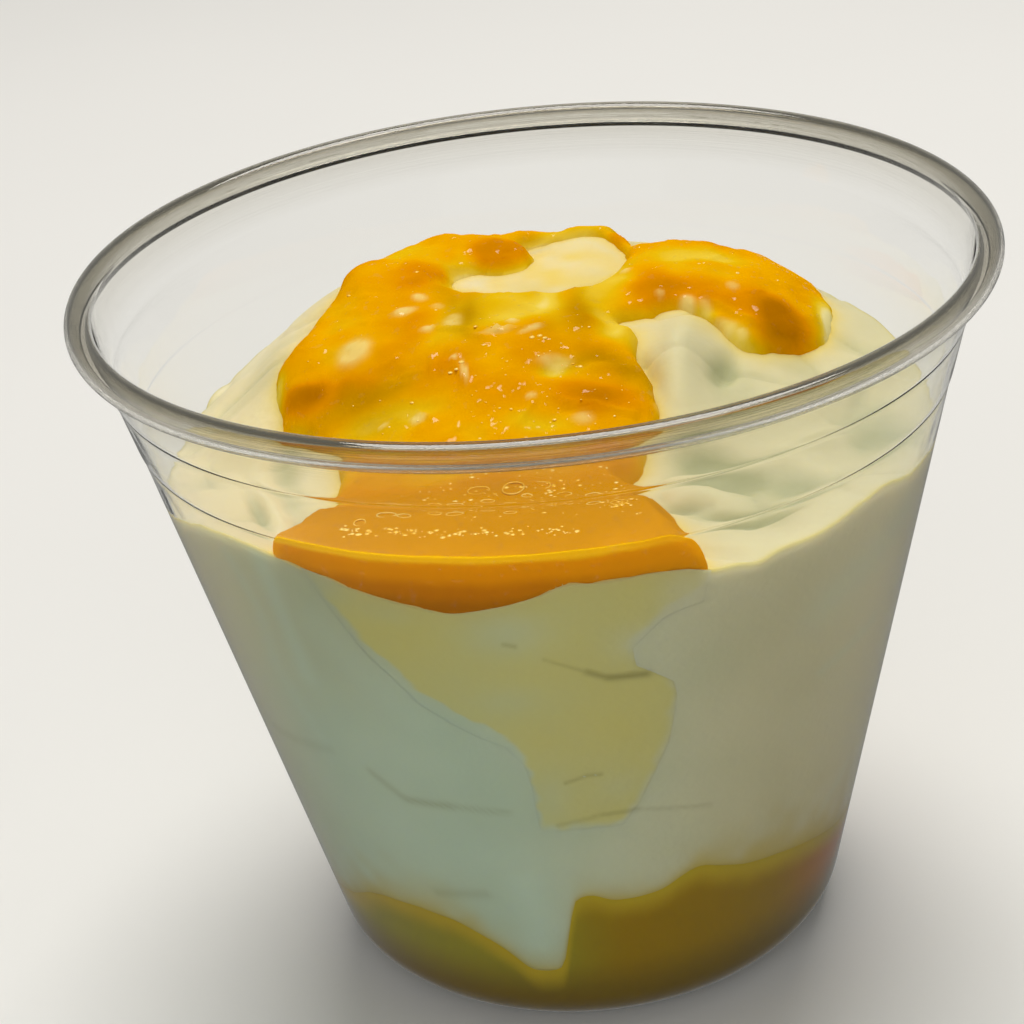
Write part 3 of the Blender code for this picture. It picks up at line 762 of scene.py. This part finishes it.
share_down = np.linspace(0, 1, WEDGE_ROWS)[:, None]
share_along = np.linspace(0, 1, WEDGE_COLUMNS)[None, :]
low = STAIN_SECTIONS[0, 0] - WEDGE_MARGIN
level = WEDGE_TOP + (low - WEDGE_TOP) * share_down
spread = inside_radius(level) * math.pi / 180
left = stain_at(level, 1) - WEDGE_MARGIN / spread
right = stain_at(level, 2) + WEDGE_MARGIN / spread
azimuth = left + (right - left) * share_along
roof = round_wall(azimuth, MOUSSE_EDGE)
height = low + (roof - 0.0002 - low) * (1 - share_down)
rim = np.minimum(np.minimum(azimuth - left, right - azimuth) * spread, height - low)
proud = WEDGE_PROUD - WEDGE_SINK * (1 - smooth(rim, 0.0, 0.0020))
crease = wall_lines(azimuth, height, WALL_CREASES)
outer = inside_radius(height) + proud - CREASE_INTO * crease
depth = stain_at(height, 3) * np.sqrt(1 - 0.97 * (2 * share_along - 1) ** 2)
inner = inside_radius(height) - WEDGE_EDGE - depth


def at_azimuth(radius, azimuth, height):
    a = np.radians(azimuth)
    return np.stack([radius * np.sin(a), -radius * np.cos(a), height], axis=-1)


outer_points = at_azimuth(outer, azimuth, height)
inner_points = at_azimuth(inner, azimuth, height - 0.0004 * (share_down < 0.5))[:, ::-1]
wedge_rings = np.concatenate([outer_points, inner_points], axis=1)
first, last = wedge_rings[0].mean(axis=0), wedge_rings[-1].mean(axis=0)
wedge = ring_body("stained_mousse", wedge_rings, first, last)
strength = stain_strength(azimuth, height)


def both_sides(values):
    return np.append(np.concatenate([values, values[:, ::-1]], axis=1), [0.0, 0.0])


none = np.zeros_like(height)
for name, values in (
    ("stain", strength), ("crease", crease / CREASE_DEEPEST), ("skin", none + 1), ("contact", none),
    ("hollow", none), ("juice", none), ("puree", none),
    ("fold", wall_lines(azimuth, height, WALL_FOLDS)),
):
    store(wedge, name, both_sides(values))
wedge.data.materials.append(mousse_finish("stained_mousse", True))
carry(wedge, "mango_streak")


# ---- The sauce: thick mango sauce poured over the heap. It has a rounded edge, thins where
# the mousse bulges, carries strands of pulp, and has run down to stand against the front wall.
SAUCE_CELL = 0.00034
SAUCE_SPAN = 0.0860
SAUCE_BEAD = 0.0010
# How much the sauce thickens away from its edge, and how far from it most of that is reached
SAUCE_FILL, FILL_REACH = 0.0019, 0.0026
# The pool levels out in front of this line, over this distance
POOL_LINE, POOL_SOFTNESS = -0.0240, 0.0030
# How high the sauce climbs where it wets the wall, and how far from the wall that starts
CLIMB_HEIGHT, CLIMB_REACH = 0.00035, 0.0006
SAUCE_THINNEST, SAUCE_SINK = 0.0003, 0.0006
# Where the sauce is deep and dark (positive), partly its depth and partly painted shade on
# its shaded sides, or thin and yellow: x, y, half widths, turn, amount
SAUCE_SHADES = in_units((MM, MM, MM, MM, 1, 1), [
    (-13.2, 15.2, 3, 3, 0, 0.24), (-9.3, 25.7, 2, 1.8, 0, 0.1), (-3.2, 22.1, 5.1, 2.8, 0, 0.3),
    (-11.5, 3.2, 2.7, 3.2, 0, 0.24), (-7.8, -6.3, 3.6, 3.5, 0, 0.1),
    (5.6, -11.9, 5.2, 2.1, 0, 0.28), (9.8, 24.6, 2, 2.7, 0, 0.34), (4, 26.6, 5.2, 2, 0, -0.36),
    (12, 7.6, 2.8, 3.9, 0, 0.2), (-13.2, 21.2, 2.4, 4, 0, -0.18), (-3, 4.2, 5.4, 5.5, 0, -0.36),
    (1.7, 6.2, 1.8, 5.4, 0, -0.26), (-7.3, 17.5, 1.5, 5.5, 0, -0.42), (7.4, 8, 2.6, 5.5, 0, -0.32),
    (6.9, 0.1, 1.7, 2.6, 0, -0.3), (8.9, -1, 1.9, 2.5, 0, -0.16), (1, -7.3, 1.8, 1.4, 0, -0.35),
    (2.2, -7.8, 3.2, 1.6, 0, -0.18), (-15.8, -9.2, 4.4, 2.2, 0, -0.22),
    (-19.9, 2.3, 3.2, 2.2, 0, -0.14), (-23.7, -1.7, 2.4, 1.4, 0, 0.42),
    (-20.3, -3.3, 3.5, 1.5, 0, 0.18), (-26.7, 1.8, 1.3, 2.1, 0, -0.4),
    (1.7, -14.2, 4.5, 1.3, 0, -0.15), (-5.8, -14.6, 5.3, 1.5, 0, -0.12),
    (19.1, 6, 6, 3, -15, 0.26), (25.2, 3.3, 3, 3.6, 0, 0.42), (19.5, 0.2, 2.2, 1.7, 0, -0.26),
    (30.4, 7.5, 1.7, 6, 0, -0.6), (17.2, 15.5, 6.2, 2.6, 0, -0.25),
    (23.8, -0.4, 3.4, 1.1, 15, -0.25), (16.1, 3.4, 2.6, 1.1, 0, -0.36),
])
# Where it is murky and olive, partly its own colour and partly painted shade, of the same numbers
SAUCE_MURK_AND_SHADE = in_units((MM, MM, MM, MM, 1, 1), [
    (-6.9, 4, 1.6, 5.2, 0, 0.95), (4.4, 2, 1.4, 4.6, 0, 0.95), (6.2, -6.4, 5.2, 1.8, 0, 0.85),
    (-17.8, -5.1, 5.6, 2.1, 0, 0.9), (-9.1, 8.6, 1.1, 5.5, 0, 0.5), (1, -1.2, 2.2, 2.3, 0, 0.5),
    (10.8, -9.1, 1.4, 2.1, 0, 0.7), (-16.6, -9.2, 4, 1.8, 0, 0.45), (23.6, 1.2, 3, 1.4, 0, 0.4),
])
# Pale flecks of mousse that show through and painted glints, raised a little: x, y, half widths,
# turn, strength
SAUCE_FLECKS_AND_GLINTS = in_units((MM, MM, MM, MM, 1, 1), [
    (-18.6, 1.8, 1.6, 1.9, 0, 1.2), (-11.7, 9.3, 0.7, 1, 20, 0.9), (-13.3, 6.4, 1.1, 0.8, 0, 1.1),
    (-11, 1.8, 0.7, 0.6, 0, 0.9), (-8.4, 2.5, 0.9, 1.2, 0, 0.7), (-2.4, 0.7, 0.6, 0.7, 0, 0.9),
    (-4, -1.3, 1.8, 0.3, 0, 0.7), (-0.6, -1.7, 1.2, 0.4, 20, 0.8), (-7.5, -6.7, 0.3, 1.6, 8, 0.8),
    (-12.3, -10.8, 0.8, 0.6, -30, 0.9), (-8.5, -4.5, 0.4, 0.5, 0, 0.8),
    (3.5, -14.2, 1, 0.6, 0, 0.6), (9.7, 11.8, 0.6, 0.9, 0, 0.8), (15.4, 4, 0.9, 1, 0, 0.9),
    (20.4, 7.7, 0.6, 0.8, 0, 0.6), (18.6, 1.6, 1.5, 0.9, 0, 0.7), (20.5, 0.8, 0.6, 0.6, 0, 0.8),
    (17.2, 3.8, 0.6, 0.8, 0, 0.5), (12.8, 5.8, 0.4, 0.6, 0, 0.6), (-15.8, -10.1, 0.5, 0.4, 0, 0.7),
    (-1.2, -11.4, 0.5, 0.4, 0, 0.7), (1.4, -6.7, 1.6, 0.8, 0, 0.6),
    (11.6, -11.2, 0.9, 0.7, 0, 0.7), (-9.9, 6.7, 0.6, 0.6, 0, 0.5),
])
# Strands of pulp under the surface: both ends, half width, height
PULP_STRANDS = in_units(MM, [
    (-10.3, 1.8, -4, -1.2, 0.28, 0.4), (-4, -1.2, 0.6, -1, 0.24, 0.35),
    (-8.7, -5, -7.4, -8.2, 0.24, 0.35), (-12.4, -9.7, -10.9, -11.7, 0.3, 0.4),
    (2, -12.6, 8.5, -13.4, 0.3, 0.4), (5, -7.8, 10.5, -6.8, 0.7, 0.5),
    (-3, -14.9, -1, -12, 0.24, 0.3), (16.9, 5.3, 22.4, 2, 0.3, 0.35),
])


def strand(x, y, x0, y0, x1, y1, width, height):
    """A ridge along a short line: height * exp(-(distance / width)^2)."""
    away = to_line(x - x0, y - y0, x1 - x0, y1 - y0)[1]
    return height * np.exp(-((away / width) ** 2))


def film(x, y):
    """0 at the hole's edge, where the sauce thins out to nothing, and 1 a few millimetres away."""
    spread = 0.0010 + 0.0036 * smooth(y, 0.0175, 0.0135)
    hole = smooth(-strokes_reach(x, y, SAUCE_HOLE), -0.0004, spread)
    notch = smooth(-strokes_reach(x, y, SAUCE_NOTCH), -0.0004, 0.0010)
    return hole * (0.65 + 0.35 * notch)


def sauce_shade(x, y):
    """0 where the sauce is a thin yellow film and 1 where it is deep and dark orange, partly
    painted shade.
    """
    drift = 0.0008 * noise(x / 0.0032, y / 0.0032, 63)
    patches = sum(heap(x + drift, y - drift, *patch, 3) for patch in SAUCE_SHADES)
    mottle = 0.13 * lumps(x, y, 0.0050, 61)
    front = smooth(y, -0.0190, -0.0260)
    loose = 0.52 + patches + mottle
    shade = loose * (1 - front) + (0.80 + 0.5 * mottle) * front
    thin = smooth(sauce_reach(x, y), 0.0, 0.0010)
    return np.clip(shade * (0.70 + 0.30 * thin) * (0.12 + 0.88 * film(x, y)), 0, 1)


def murk_and_shade_strength(x, y):
    drift = 0.0008 * noise(x / 0.0028, y / 0.0028, 64)
    return np.clip(sum(heap(x - drift, y + drift, *patch, 2) for patch in SAUCE_MURK_AND_SHADE), 0, 1)


def fleck_and_glint_strength(x, y):
    wobble = 0.35 * noise(x / 0.0006, y / 0.0006, 95)
    flecks_and_glints = sum(heap(x, y, *fleck, 4) for fleck in SAUCE_FLECKS_AND_GLINTS)
    return np.clip(flecks_and_glints * (1 + wobble), 0, 1)


draw = np.random.default_rng(7)
loose_strands = []
for _ in range(90):
    sx, sy = draw.uniform(-0.024, 0.028), draw.uniform(-0.032, 0.026)
    way, length = draw.uniform(0, math.pi), draw.uniform(0.0006, 0.0024)
    ends = (sx, sy, sx + length * math.cos(way), sy + length * math.sin(way))
    loose_strands.append((*ends, draw.uniform(0.00014, 0.00030), draw.uniform(0.00008, 0.00026)))


wall = inside_radius(POOL_LEVEL)


def sauce_top(x, y):
    """The mousse's form, a round bead at the sauce's edge, a slow fill, lumps and strands."""
    reach = sauce_reach(x, y)
    inwards = smooth(reach, 0.0, 0.0020)
    under = mousse_top(x, y) * (1 - inwards) + mousse_form(x, y) * inwards
    short = np.clip(reach, 0, SAUCE_BEAD)
    bead = np.sqrt(SAUCE_BEAD**2 - (SAUCE_BEAD - short) ** 2)
    fill = SAUCE_FILL * (1 - np.exp(-np.clip(reach, 0, None) / FILL_REACH))
    body = 0.60 + 0.55 * sauce_shade(x, y)
    thickness = bead * (0.5 + 0.5 * body) + fill * body
    top = under - 0.0001 + thickness * (0.10 + 0.90 * film(x, y))
    front = 1 / (1 + np.exp((y - POOL_LINE) / POOL_SOFTNESS))
    shore = smooth(reach, 0.0, 0.0015 + 0.0026 * smooth(x, 0.004, 0.010))
    top = top + front * np.clip(POOL_LEVEL - top, -0.0020, 0.0080) * shore
    calm = 1 - 0.75 * smooth(y, -0.0260, -0.0330)
    rough = 0.00024 * lumps(x, y, 0.0036, 71)
    rough = rough + 0.00008 * lumps(x, y, 0.0012, 75)
    ridges = sum(strand(x, y, *s) for s in [*PULP_STRANDS, *loose_strands])
    flecks_and_glints = 0.00018 * fleck_and_glint_strength(x, y)
    climb = CLIMB_HEIGHT * np.exp(-(wall - np.hypot(x, y)) / CLIMB_REACH)
    return top + inwards * (rough + ridges + flecks_and_glints) * calm + climb * inwards


def sauce_field(x, y):
    return np.minimum(sauce_reach(x, y), wall - np.hypot(x, y))


cells = round(SAUCE_SPAN / SAUCE_CELL)
line = (np.arange(cells + 1) - cells / 2) * SAUCE_CELL
grid_x, grid_y = np.meshgrid(line, line, indexing="ij")
field = sauce_field(grid_x, grid_y)
kept = (field[:-1, :-1] + field[1:, :-1] + field[1:, 1:] + field[:-1, 1:]) > 0
touching = np.zeros_like(field)
for i in (0, 1):
    for j in (0, 1):
        touching[i:i + cells, j:j + cells] += kept
used = touching > 0
rim = used & (touching < 4)
px, py = grid_x[rim], grid_y[rim]
STEP = 1e-5
for _ in range(10):
    here = sauce_field(px, py)
    slope_x = (sauce_field(px + STEP, py) - here) / STEP
    slope_y = (sauce_field(px, py + STEP) - here) / STEP
    steep = np.maximum(slope_x**2 + slope_y**2, 0.3)
    px = px - 0.8 * here * slope_x / steep
    py = py - 0.8 * here * slope_y / steep
grid_x[rim], grid_y[rim] = px, py
inner = used & ~rim
for _ in range(3):
    for grid in (grid_x, grid_y):
        mean = grid.copy()
        mean[1:-1, 1:-1] = (grid[:-2, 1:-1] + grid[2:, 1:-1] + grid[1:-1, :-2] + grid[1:-1, 2:]) / 4
        grid[inner] = mean[inner]
number = np.full(field.shape, -1)
number[used] = np.arange(used.sum())
flat_x, flat_y = grid_x[used], grid_y[used]
corner = [number[:-1, :-1], number[1:, :-1], number[1:, 1:], number[:-1, 1:]]
corner = [numbers[kept] for numbers in corner]
top_quads = np.stack(corner, axis=1)
outside = np.pad(~kept, 1, constant_values=True)
edges = []
for first, second, gap in (
    (0, 1, outside[1:-1, :-2]), (1, 2, outside[2:, 1:-1]),
    (2, 3, outside[1:-1, 2:]), (3, 0, outside[:-2, 1:-1]),
):
    bare = gap[kept]
    edges.append(np.stack([corner[first][bare], corner[second][bare]], axis=1))
edges = np.concatenate(edges)


def against_wall(x, y, height):
    """The points, drawn in near the wall so that the outermost lie on it at their own height."""
    near = np.clip(np.hypot(x, y) / wall, 0, 1.02) ** 10
    scale = 1 + (inside_radius(height) / wall - 1) * near
    return np.stack([x * scale, y * scale, height], axis=1)


top_height = sauce_top(flat_x, flat_y)
low_side = np.minimum(mousse_form(flat_x, flat_y) - SAUCE_SINK, top_height - SAUCE_THINNEST)
top_points = against_wall(flat_x, flat_y, top_height)
low_points = against_wall(flat_x, flat_y, low_side)
rim_numbers = np.unique(edges)
place_in_rim = np.full(len(flat_x), -1)
place_in_rim[rim_numbers] = np.arange(len(rim_numbers))
ROWS = np.array([0.04, 0.12, 0.25, 0.40, 0.55, 0.70, 0.85, 0.95])
rim_x, rim_y = flat_x[rim_numbers], flat_y[rim_numbers]
on_wall = np.hypot(rim_x, rim_y) > wall - 0.00012
ragged = 0.00022 * noise(azimuth_of(rim_x, rim_y) / 1.3, rim_x * 0, 81)
contact = wall_height(mousse_form, np.arctan2(rim_y, rim_x), MOUSSE_AT_WALL)
foot_height = np.where(on_wall, contact + ragged, low_points[rim_numbers, 2])
low_points[rim_numbers] = against_wall(rim_x, rim_y, foot_height)
high_z = top_points[rim_numbers, 2]
columns = []
for share in ROWS:
    level = high_z + (foot_height - high_z) * share
    columns.append(against_wall(rim_x, rim_y, level))
count = len(flat_x)
points = np.concatenate([top_points, *columns, low_points])
rows = [edges]
for row in range(len(ROWS)):
    rows.append(count + row * len(rim_numbers) + place_in_rim[edges])
rows.append(count + len(ROWS) * len(rim_numbers) + edges)
side_quads = [
    np.stack([upper[:, 0], lower[:, 0], lower[:, 1], upper[:, 1]], axis=1)
    for upper, lower in zip(rows[:-1], rows[1:])
]
low_quads = top_quads[:, ::-1] + count + len(ROWS) * len(rim_numbers)
sauce = fill_mesh("poured_sauce", points, np.concatenate([top_quads, *side_quads, low_quads]), [])


def down_the_side(values):
    """Values for the top, for each row of the side and for the underside."""
    return np.concatenate([values, *[values[rim_numbers]] * len(ROWS), values])


store(sauce, "shade", down_the_side(sauce_shade(flat_x, flat_y)))
store(sauce, "fleck", down_the_side(fleck_and_glint_strength(flat_x, flat_y)))
store(sauce, "murk", down_the_side(murk_and_shade_strength(flat_x, flat_y)))
near_wall = smooth(np.hypot(flat_x, flat_y), wall - 0.0006, wall)
store(sauce, "at_wall", np.concatenate([near_wall, *[on_wall * 1.0] * len(ROWS), near_wall]))

mango, shader, place = finish("mango_sauce")
shade = place.stored("shade")
fleck = place.stored("fleck")
murk = place.stored("murk")
at_wall = place.stored("at_wall")
fine = place.mottle(620.0, 3.0)
broad = place.mottle(190.0, 3.0)
wet = place.mottle(1100.0, 1.0)
shade = shade + 0.10 * (broad - 0.5) + 0.04 * (fine - 0.5)
SAUCE_RAMP = [
    (0.00, (240, 226, 156)), (0.12, (231, 200, 64)), (0.28, (225, 181, 12)),
    (0.48, (231, 165, 0)), (0.72, (219, 139, 0)), (1.00, (178, 110, 0)),
]
stops = [(position, rgb(*colour)[:3]) for position, colour in SAUCE_RAMP]
colour = place.node("ShaderNodeValToRGB", {"stops": stops}, {0: shade})
# Olive, partly the sauce's own colour and partly painted shade.
colour = (murk * 0.8).mix(colour, rgb(172, 124, 0))
across = place.axis(0)
away = place.axis(1)
colour = (away.rise(-0.0130, -0.0300) * 0.6).mix(colour, rgb(204, 146, 2))
# Pale flecks, partly mousse that shows through and partly painted highlights.
colour = (fleck * 0.75).mix(colour, rgb(238, 214, 130))
# Where the sauce stands against the wall: a painted highlight along its top edge, then painted
# shade that deepens downwards.
level = place.axis(2) + 0.0012 * (broad - 0.5)
front = level.rise(0.0619, 0.0613).mix(rgb(244, 188, 10), rgb(236, 158, 0))
front = level.rise(0.0602, 0.0584).mix(front, rgb(206, 130, 2))
front = level.rise(0.0584, 0.0566).mix(front, rgb(180, 112, 4))
front = (across.rise(0.0030, 0.0100) * 0.6).mix(front, rgb(238, 164, 2))
colour = at_wall.mix(colour, front)
relief = 0.7 * fine + 0.3 * broad
bump = relief.relief(0.22, 0.0004)
feed(shader, {
    "Base Color": colour,
    "Roughness": 0.26 + 0.18 * fine,
    "Normal": bump,
    "Specular IOR Level": 0.0,
    "Subsurface Weight": 0.06,
    "Subsurface Radius": (0.0012, 0.0009, 0.0002),
    "Subsurface Scale": 1.0,
    "Coat Weight": 0.5 * wet.rise(0.63, 0.70),
    "Coat Roughness": 0.07,
})
sauce.data.materials.append(mango)
carry(sauce, "mango_topping")


# ---- Bubbles and grains in the sauce: domes of a fraction of a millimetre, thickest where it
# has run forward and in a strip before the wall, and the rings that burst bubbles left.
BUBBLES, STRIP_BUBBLES, SIDE_BUBBLES, POOL_BUBBLES = 200, 110, 30, 90
STRIP_X, STRIP_Y = (-0.0192, -0.0075, 0.0029), (-0.0314, -0.0347, -0.0362)
SIDE_STRIP = (0.0060, -0.0314)
POOL_MIDDLE, POOL_SPREAD = (-0.0020, -0.0262), (0.0060, 0.0026)
# x, y, radius of each ring, and the radius of its round section
BURST_RINGS = in_units(MM, [
    (-15.2, -28.7, 0.8), (-13.6, -29.3, 0.6), (-10.8, -29, 0.6), (-9, -29.6, 0.7),
    (-3.6, -25.8, 1.1), (-1.2, -25, 0.9), (-6.8, -25.1, 0.9), (-6, -28.5, 0.6), (3.5, -30, 0.6),
    (5.8, -31, 0.7), (-4, -30.5, 0.5), (-17.6, -30, 0.6), (-2.4, -27.6, 0.5), (1, -28.4, 0.6),
])
RING_SECTION = 0.00008
RING_SIDES, SECTION_SIDES = 28, 6
# A dome's rings of points, in degrees from its top, its sides, and its height for its radius
DOME_ANGLES, DOME_SIDES, DOME_FLATNESS = (12, 38, 64, 90, 108), 8, 0.4
bx = draw.uniform(-0.027, 0.032, BUBBLES * 6)
by = draw.uniform(-0.040, 0.028, BUBBLES * 6)
forward = np.exp(-(((bx - 0.001) / 0.011) ** 2) - ((by + 0.013) / 0.013) ** 2)
inside = (sauce_field(bx, by) > 0.0014) & (draw.uniform(0, 1, len(bx)) < 0.06 + 0.94 * forward)
strip_x = draw.uniform(STRIP_X[0], STRIP_X[-1], STRIP_BUBBLES)
strip_y = np.interp(strip_x, STRIP_X, STRIP_Y) + draw.normal(0, 0.00045, STRIP_BUBBLES)
side_x = draw.normal(SIDE_STRIP[0], 0.0011, SIDE_BUBBLES)
side_y = draw.normal(SIDE_STRIP[1], 0.0015, SIDE_BUBBLES)
pool_x = draw.normal(POOL_MIDDLE[0], POOL_SPREAD[0], POOL_BUBBLES)
pool_y = draw.normal(POOL_MIDDLE[1], POOL_SPREAD[1], POOL_BUBBLES)
bx = np.concatenate([bx[inside][:BUBBLES], strip_x, side_x, pool_x])
by = np.concatenate([by[inside][:BUBBLES], strip_y, side_y, pool_y])
kept = sauce_field(bx, by) > 0.0008
bx, by = bx[kept], by[kept]
size = 0.00010 + 0.00022 * draw.uniform(0, 1, len(bx)) ** 3
bz = sauce_top(bx, by) - size * 0.15


angle = np.radians(DOME_ANGLES)[:, None]
dome = polar(np.sin(angle), np.cos(angle), around(DOME_SIDES)).reshape(-1, 3)
dome = np.vstack([dome, [[0, 0, 1], [0, 0, -0.45]]]) * [1, 1, DOME_FLATNESS]
caps = pole_faces(len(DOME_ANGLES), DOME_SIDES)
middle = np.stack([bx, by, bz], axis=1)
dome_points = (dome[None] * size[:, None, None] + middle[:, None]).reshape(-1, 3)
shift = (np.arange(len(bx)) * len(dome))[:, None, None]
dome_quads = (ring_faces(len(DOME_ANGLES), DOME_SIDES)[None] + shift).reshape(-1, 4)
dome_caps = (caps[None] + shift).reshape(-1, 3)

ring_turn, section_turn = around(RING_SIDES)[:, None], around(SECTION_SIDES)
ring_x, ring_y, ring_radius = BURST_RINGS.T[:, :, None, None]
out_to = ring_radius * (1 + 0.12 * np.sin(2 * ring_turn + ring_x * 9000))
on_top = sauce_top(ring_x[:, 0, 0], ring_y[:, 0, 0])[:, None, None]
torus = polar(
    out_to + RING_SECTION * np.cos(section_turn),
    on_top + RING_SECTION * np.sin(section_turn),
    ring_turn,
)
torus_points = (torus + np.stack([ring_x, ring_y, 0 * ring_x], axis=-1)).reshape(-1, 3)
shift = len(dome_points) + (np.arange(len(BURST_RINGS)) * RING_SIDES * SECTION_SIDES)[:, None, None]
torus_quads = (ring_faces(RING_SIDES, SECTION_SIDES, closed=True)[None] + shift).reshape(-1, 4)
bubbles = fill_mesh(
    "sauce_bubbles",
    np.concatenate([dome_points, torus_points]),
    np.concatenate([dome_quads, torus_quads]),
    dome_caps,
)
foam, shader, place = finish("bubble_skin")
tint = place.mottle(260.0, 1.0)
feed(shader, {
    # Pale gold, partly the foam's own paler colour and partly painted glints.
    "Base Color": tint.rise(0.35, 0.65).mix(rgb(244, 186, 40), rgb(250, 214, 110)),
    "Roughness": 0.10 + 0.15 * tint,
    "Specular Tint": (1.0, 0.84, 0.40, 1.0),
    "Coat Weight": 0.3,
    "Coat Roughness": 0.05,
})
bubbles.data.materials.append(foam)
carry(bubbles, None)


# ---- The puree in the foot: amber fruit puree, its colours darkened by painted shade, deeper
# on the right, that the mousse was spooned onto. It fills the foot to its fillet and round the
# raised middle.
BASE_SIDES, BASE_TOP_RINGS, BASE_SIDE_RINGS = 320, 40, 36
# It laps over the low edge of the mousse: how far up, and how far out at each height there
OVERLAP = 0.0006
LAP_RISE, LAP_OUT = (0.0, 0.0002, 0.0004, 0.0006), (0.00002, 0.00001, -0.00002, -0.00006)
turn = around(BASE_SIDES)
top_edge = wall_height(base_top, turn, BASE_LEVEL)
share = np.linspace(0, 1, BASE_TOP_RINGS + 1)[1:, None]
radius = share * (inside_radius(top_edge + OVERLAP) + LAP_OUT[-1])
roof_rings = surface_rings(base_top, radius, turn, OVERLAP * share**8)
foot_line = skin_line[skin_line[:, 1] < FOOT_FILLET]
foot_line = foot_line[foot_line[:, 0] < 0.0300]
start = foot_line[0, 1]
share = np.linspace(0, 1, BASE_SIDE_RINGS + 1)[1:-1, None]
height = top_edge + (start - top_edge) * share
lap = OVERLAP * np.linspace(1, 0, 9)[1:, None]
lap_out = np.interp(lap, LAP_RISE, LAP_OUT)
lap_rings = polar(inside_radius(top_edge + lap) + lap_out, top_edge + lap, turn)
wall_rings = polar(inside_radius(height) + LAP_OUT[0] * (1 - share), height, turn)
foot_rings = polar(foot_line[:-1, :1], foot_line[:-1, 1:], turn)
rings = np.concatenate([roof_rings, lap_rings, wall_rings, foot_rings])
puree = ring_body("foot_puree", rings, (0, 0, dip), (0, 0, foot_line[-1, 1]))
below = (top_edge - rings[..., 2]).ravel()
store(puree, "below", np.append(below, [0.01, 0.01]))
amber, shader, place = finish("mango_puree")
below = place.stored("below")
clouds = place.mottle(110.0, 4.0)
pulp = place.mottle(700.0, 2.0)
across = place.axis(0)
upward = place.axis(2)
# The puree's colours are darkened by painted shade.
green = rgb(156, 146, 34)
gold = rgb(160, 128, 0)
colour = (across + 0.004 * (clouds - 0.5)).rise(-0.006, 0.004).mix(green, gold)
colour = across.rise(0.017, 0.027).mix(colour, rgb(186, 112, 10))
# Painted shade: darker towards the bottom of the foot.
colour = upward.rise(0.011, 0.004).mix(colour, rgb(124, 100, 18))
colour = (below + 0.0020 * (clouds - 0.5)).rise(0.0034, 0.0).mix(colour, rgb(190, 164, 34))
bump = pulp.relief(0.2, 0.0002)
feed(shader, {
    "Base Color": colour,
    "Roughness": 0.30 + 0.15 * pulp,
    "Normal": bump,
    "Subsurface Weight": 0.25,
    "Subsurface Radius": (0.0030, 0.0018, 0.0005),
    "Subsurface Scale": 1.0,
    "Specular IOR Level": 0.15,
})
puree.data.materials.append(amber)
carry(puree, "mango_base")


# ---- The table and the light: a plain pale table, a large soft lamp above and behind, a
# weaker one at the front left, and a dim room that leaves dark edges in the clear plastic.
bpy.ops.mesh.primitive_plane_add(size=6.0, location=(0, 0, -0.0002))
table = bpy.context.active_object
table.name = "table"
paint, shader, place = finish("table_paint")
mottle = place.mottle(8.0, 4.0)
feed(shader, {
    "Base Color": mottle.mix((0.80, 0.80, 0.79, 1.0), (0.84, 0.84, 0.83, 1.0)),
    "Roughness": 0.6,
})
table.data.materials.append(paint)
table.visible_glossy = False


def lamp(name, place, target, size, power, colour):
    light = bpy.data.lights.new(name, "AREA")
    light.shape = "RECTANGLE"
    light.size, light.size_y = size
    light.energy = power
    light.color = colour
    obj = bpy.data.objects.new(name, light)
    obj.location = place
    obj.rotation_euler = (Vector(target) - Vector(place)).to_track_quat("-Z", "Y").to_euler()
    bpy.context.scene.collection.objects.link(obj)
    return obj


lamp("overhead", (0.05, 0.28, 0.80), (0, 0, 0.05), (0.55, 0.45), 5.7, (1.0, 0.96, 0.90))
fill = lamp("front_fill", (-0.15, -1.00, 0.50), (0, 0, 0.04), (1.40, 0.80), 4.2, (0.97, 0.99, 1.0))
fill.visible_glossy = False

world = bpy.data.worlds.new("room")
bpy.context.scene.world = world
world.use_nodes = True
sky = world.node_tree.nodes["Background"]
sky.inputs["Color"].default_value = (0.86, 0.86, 0.82, 1.0)
sky.inputs["Strength"].default_value = 0.28

view = bpy.context.scene.view_settings
view.view_transform = "Standard"
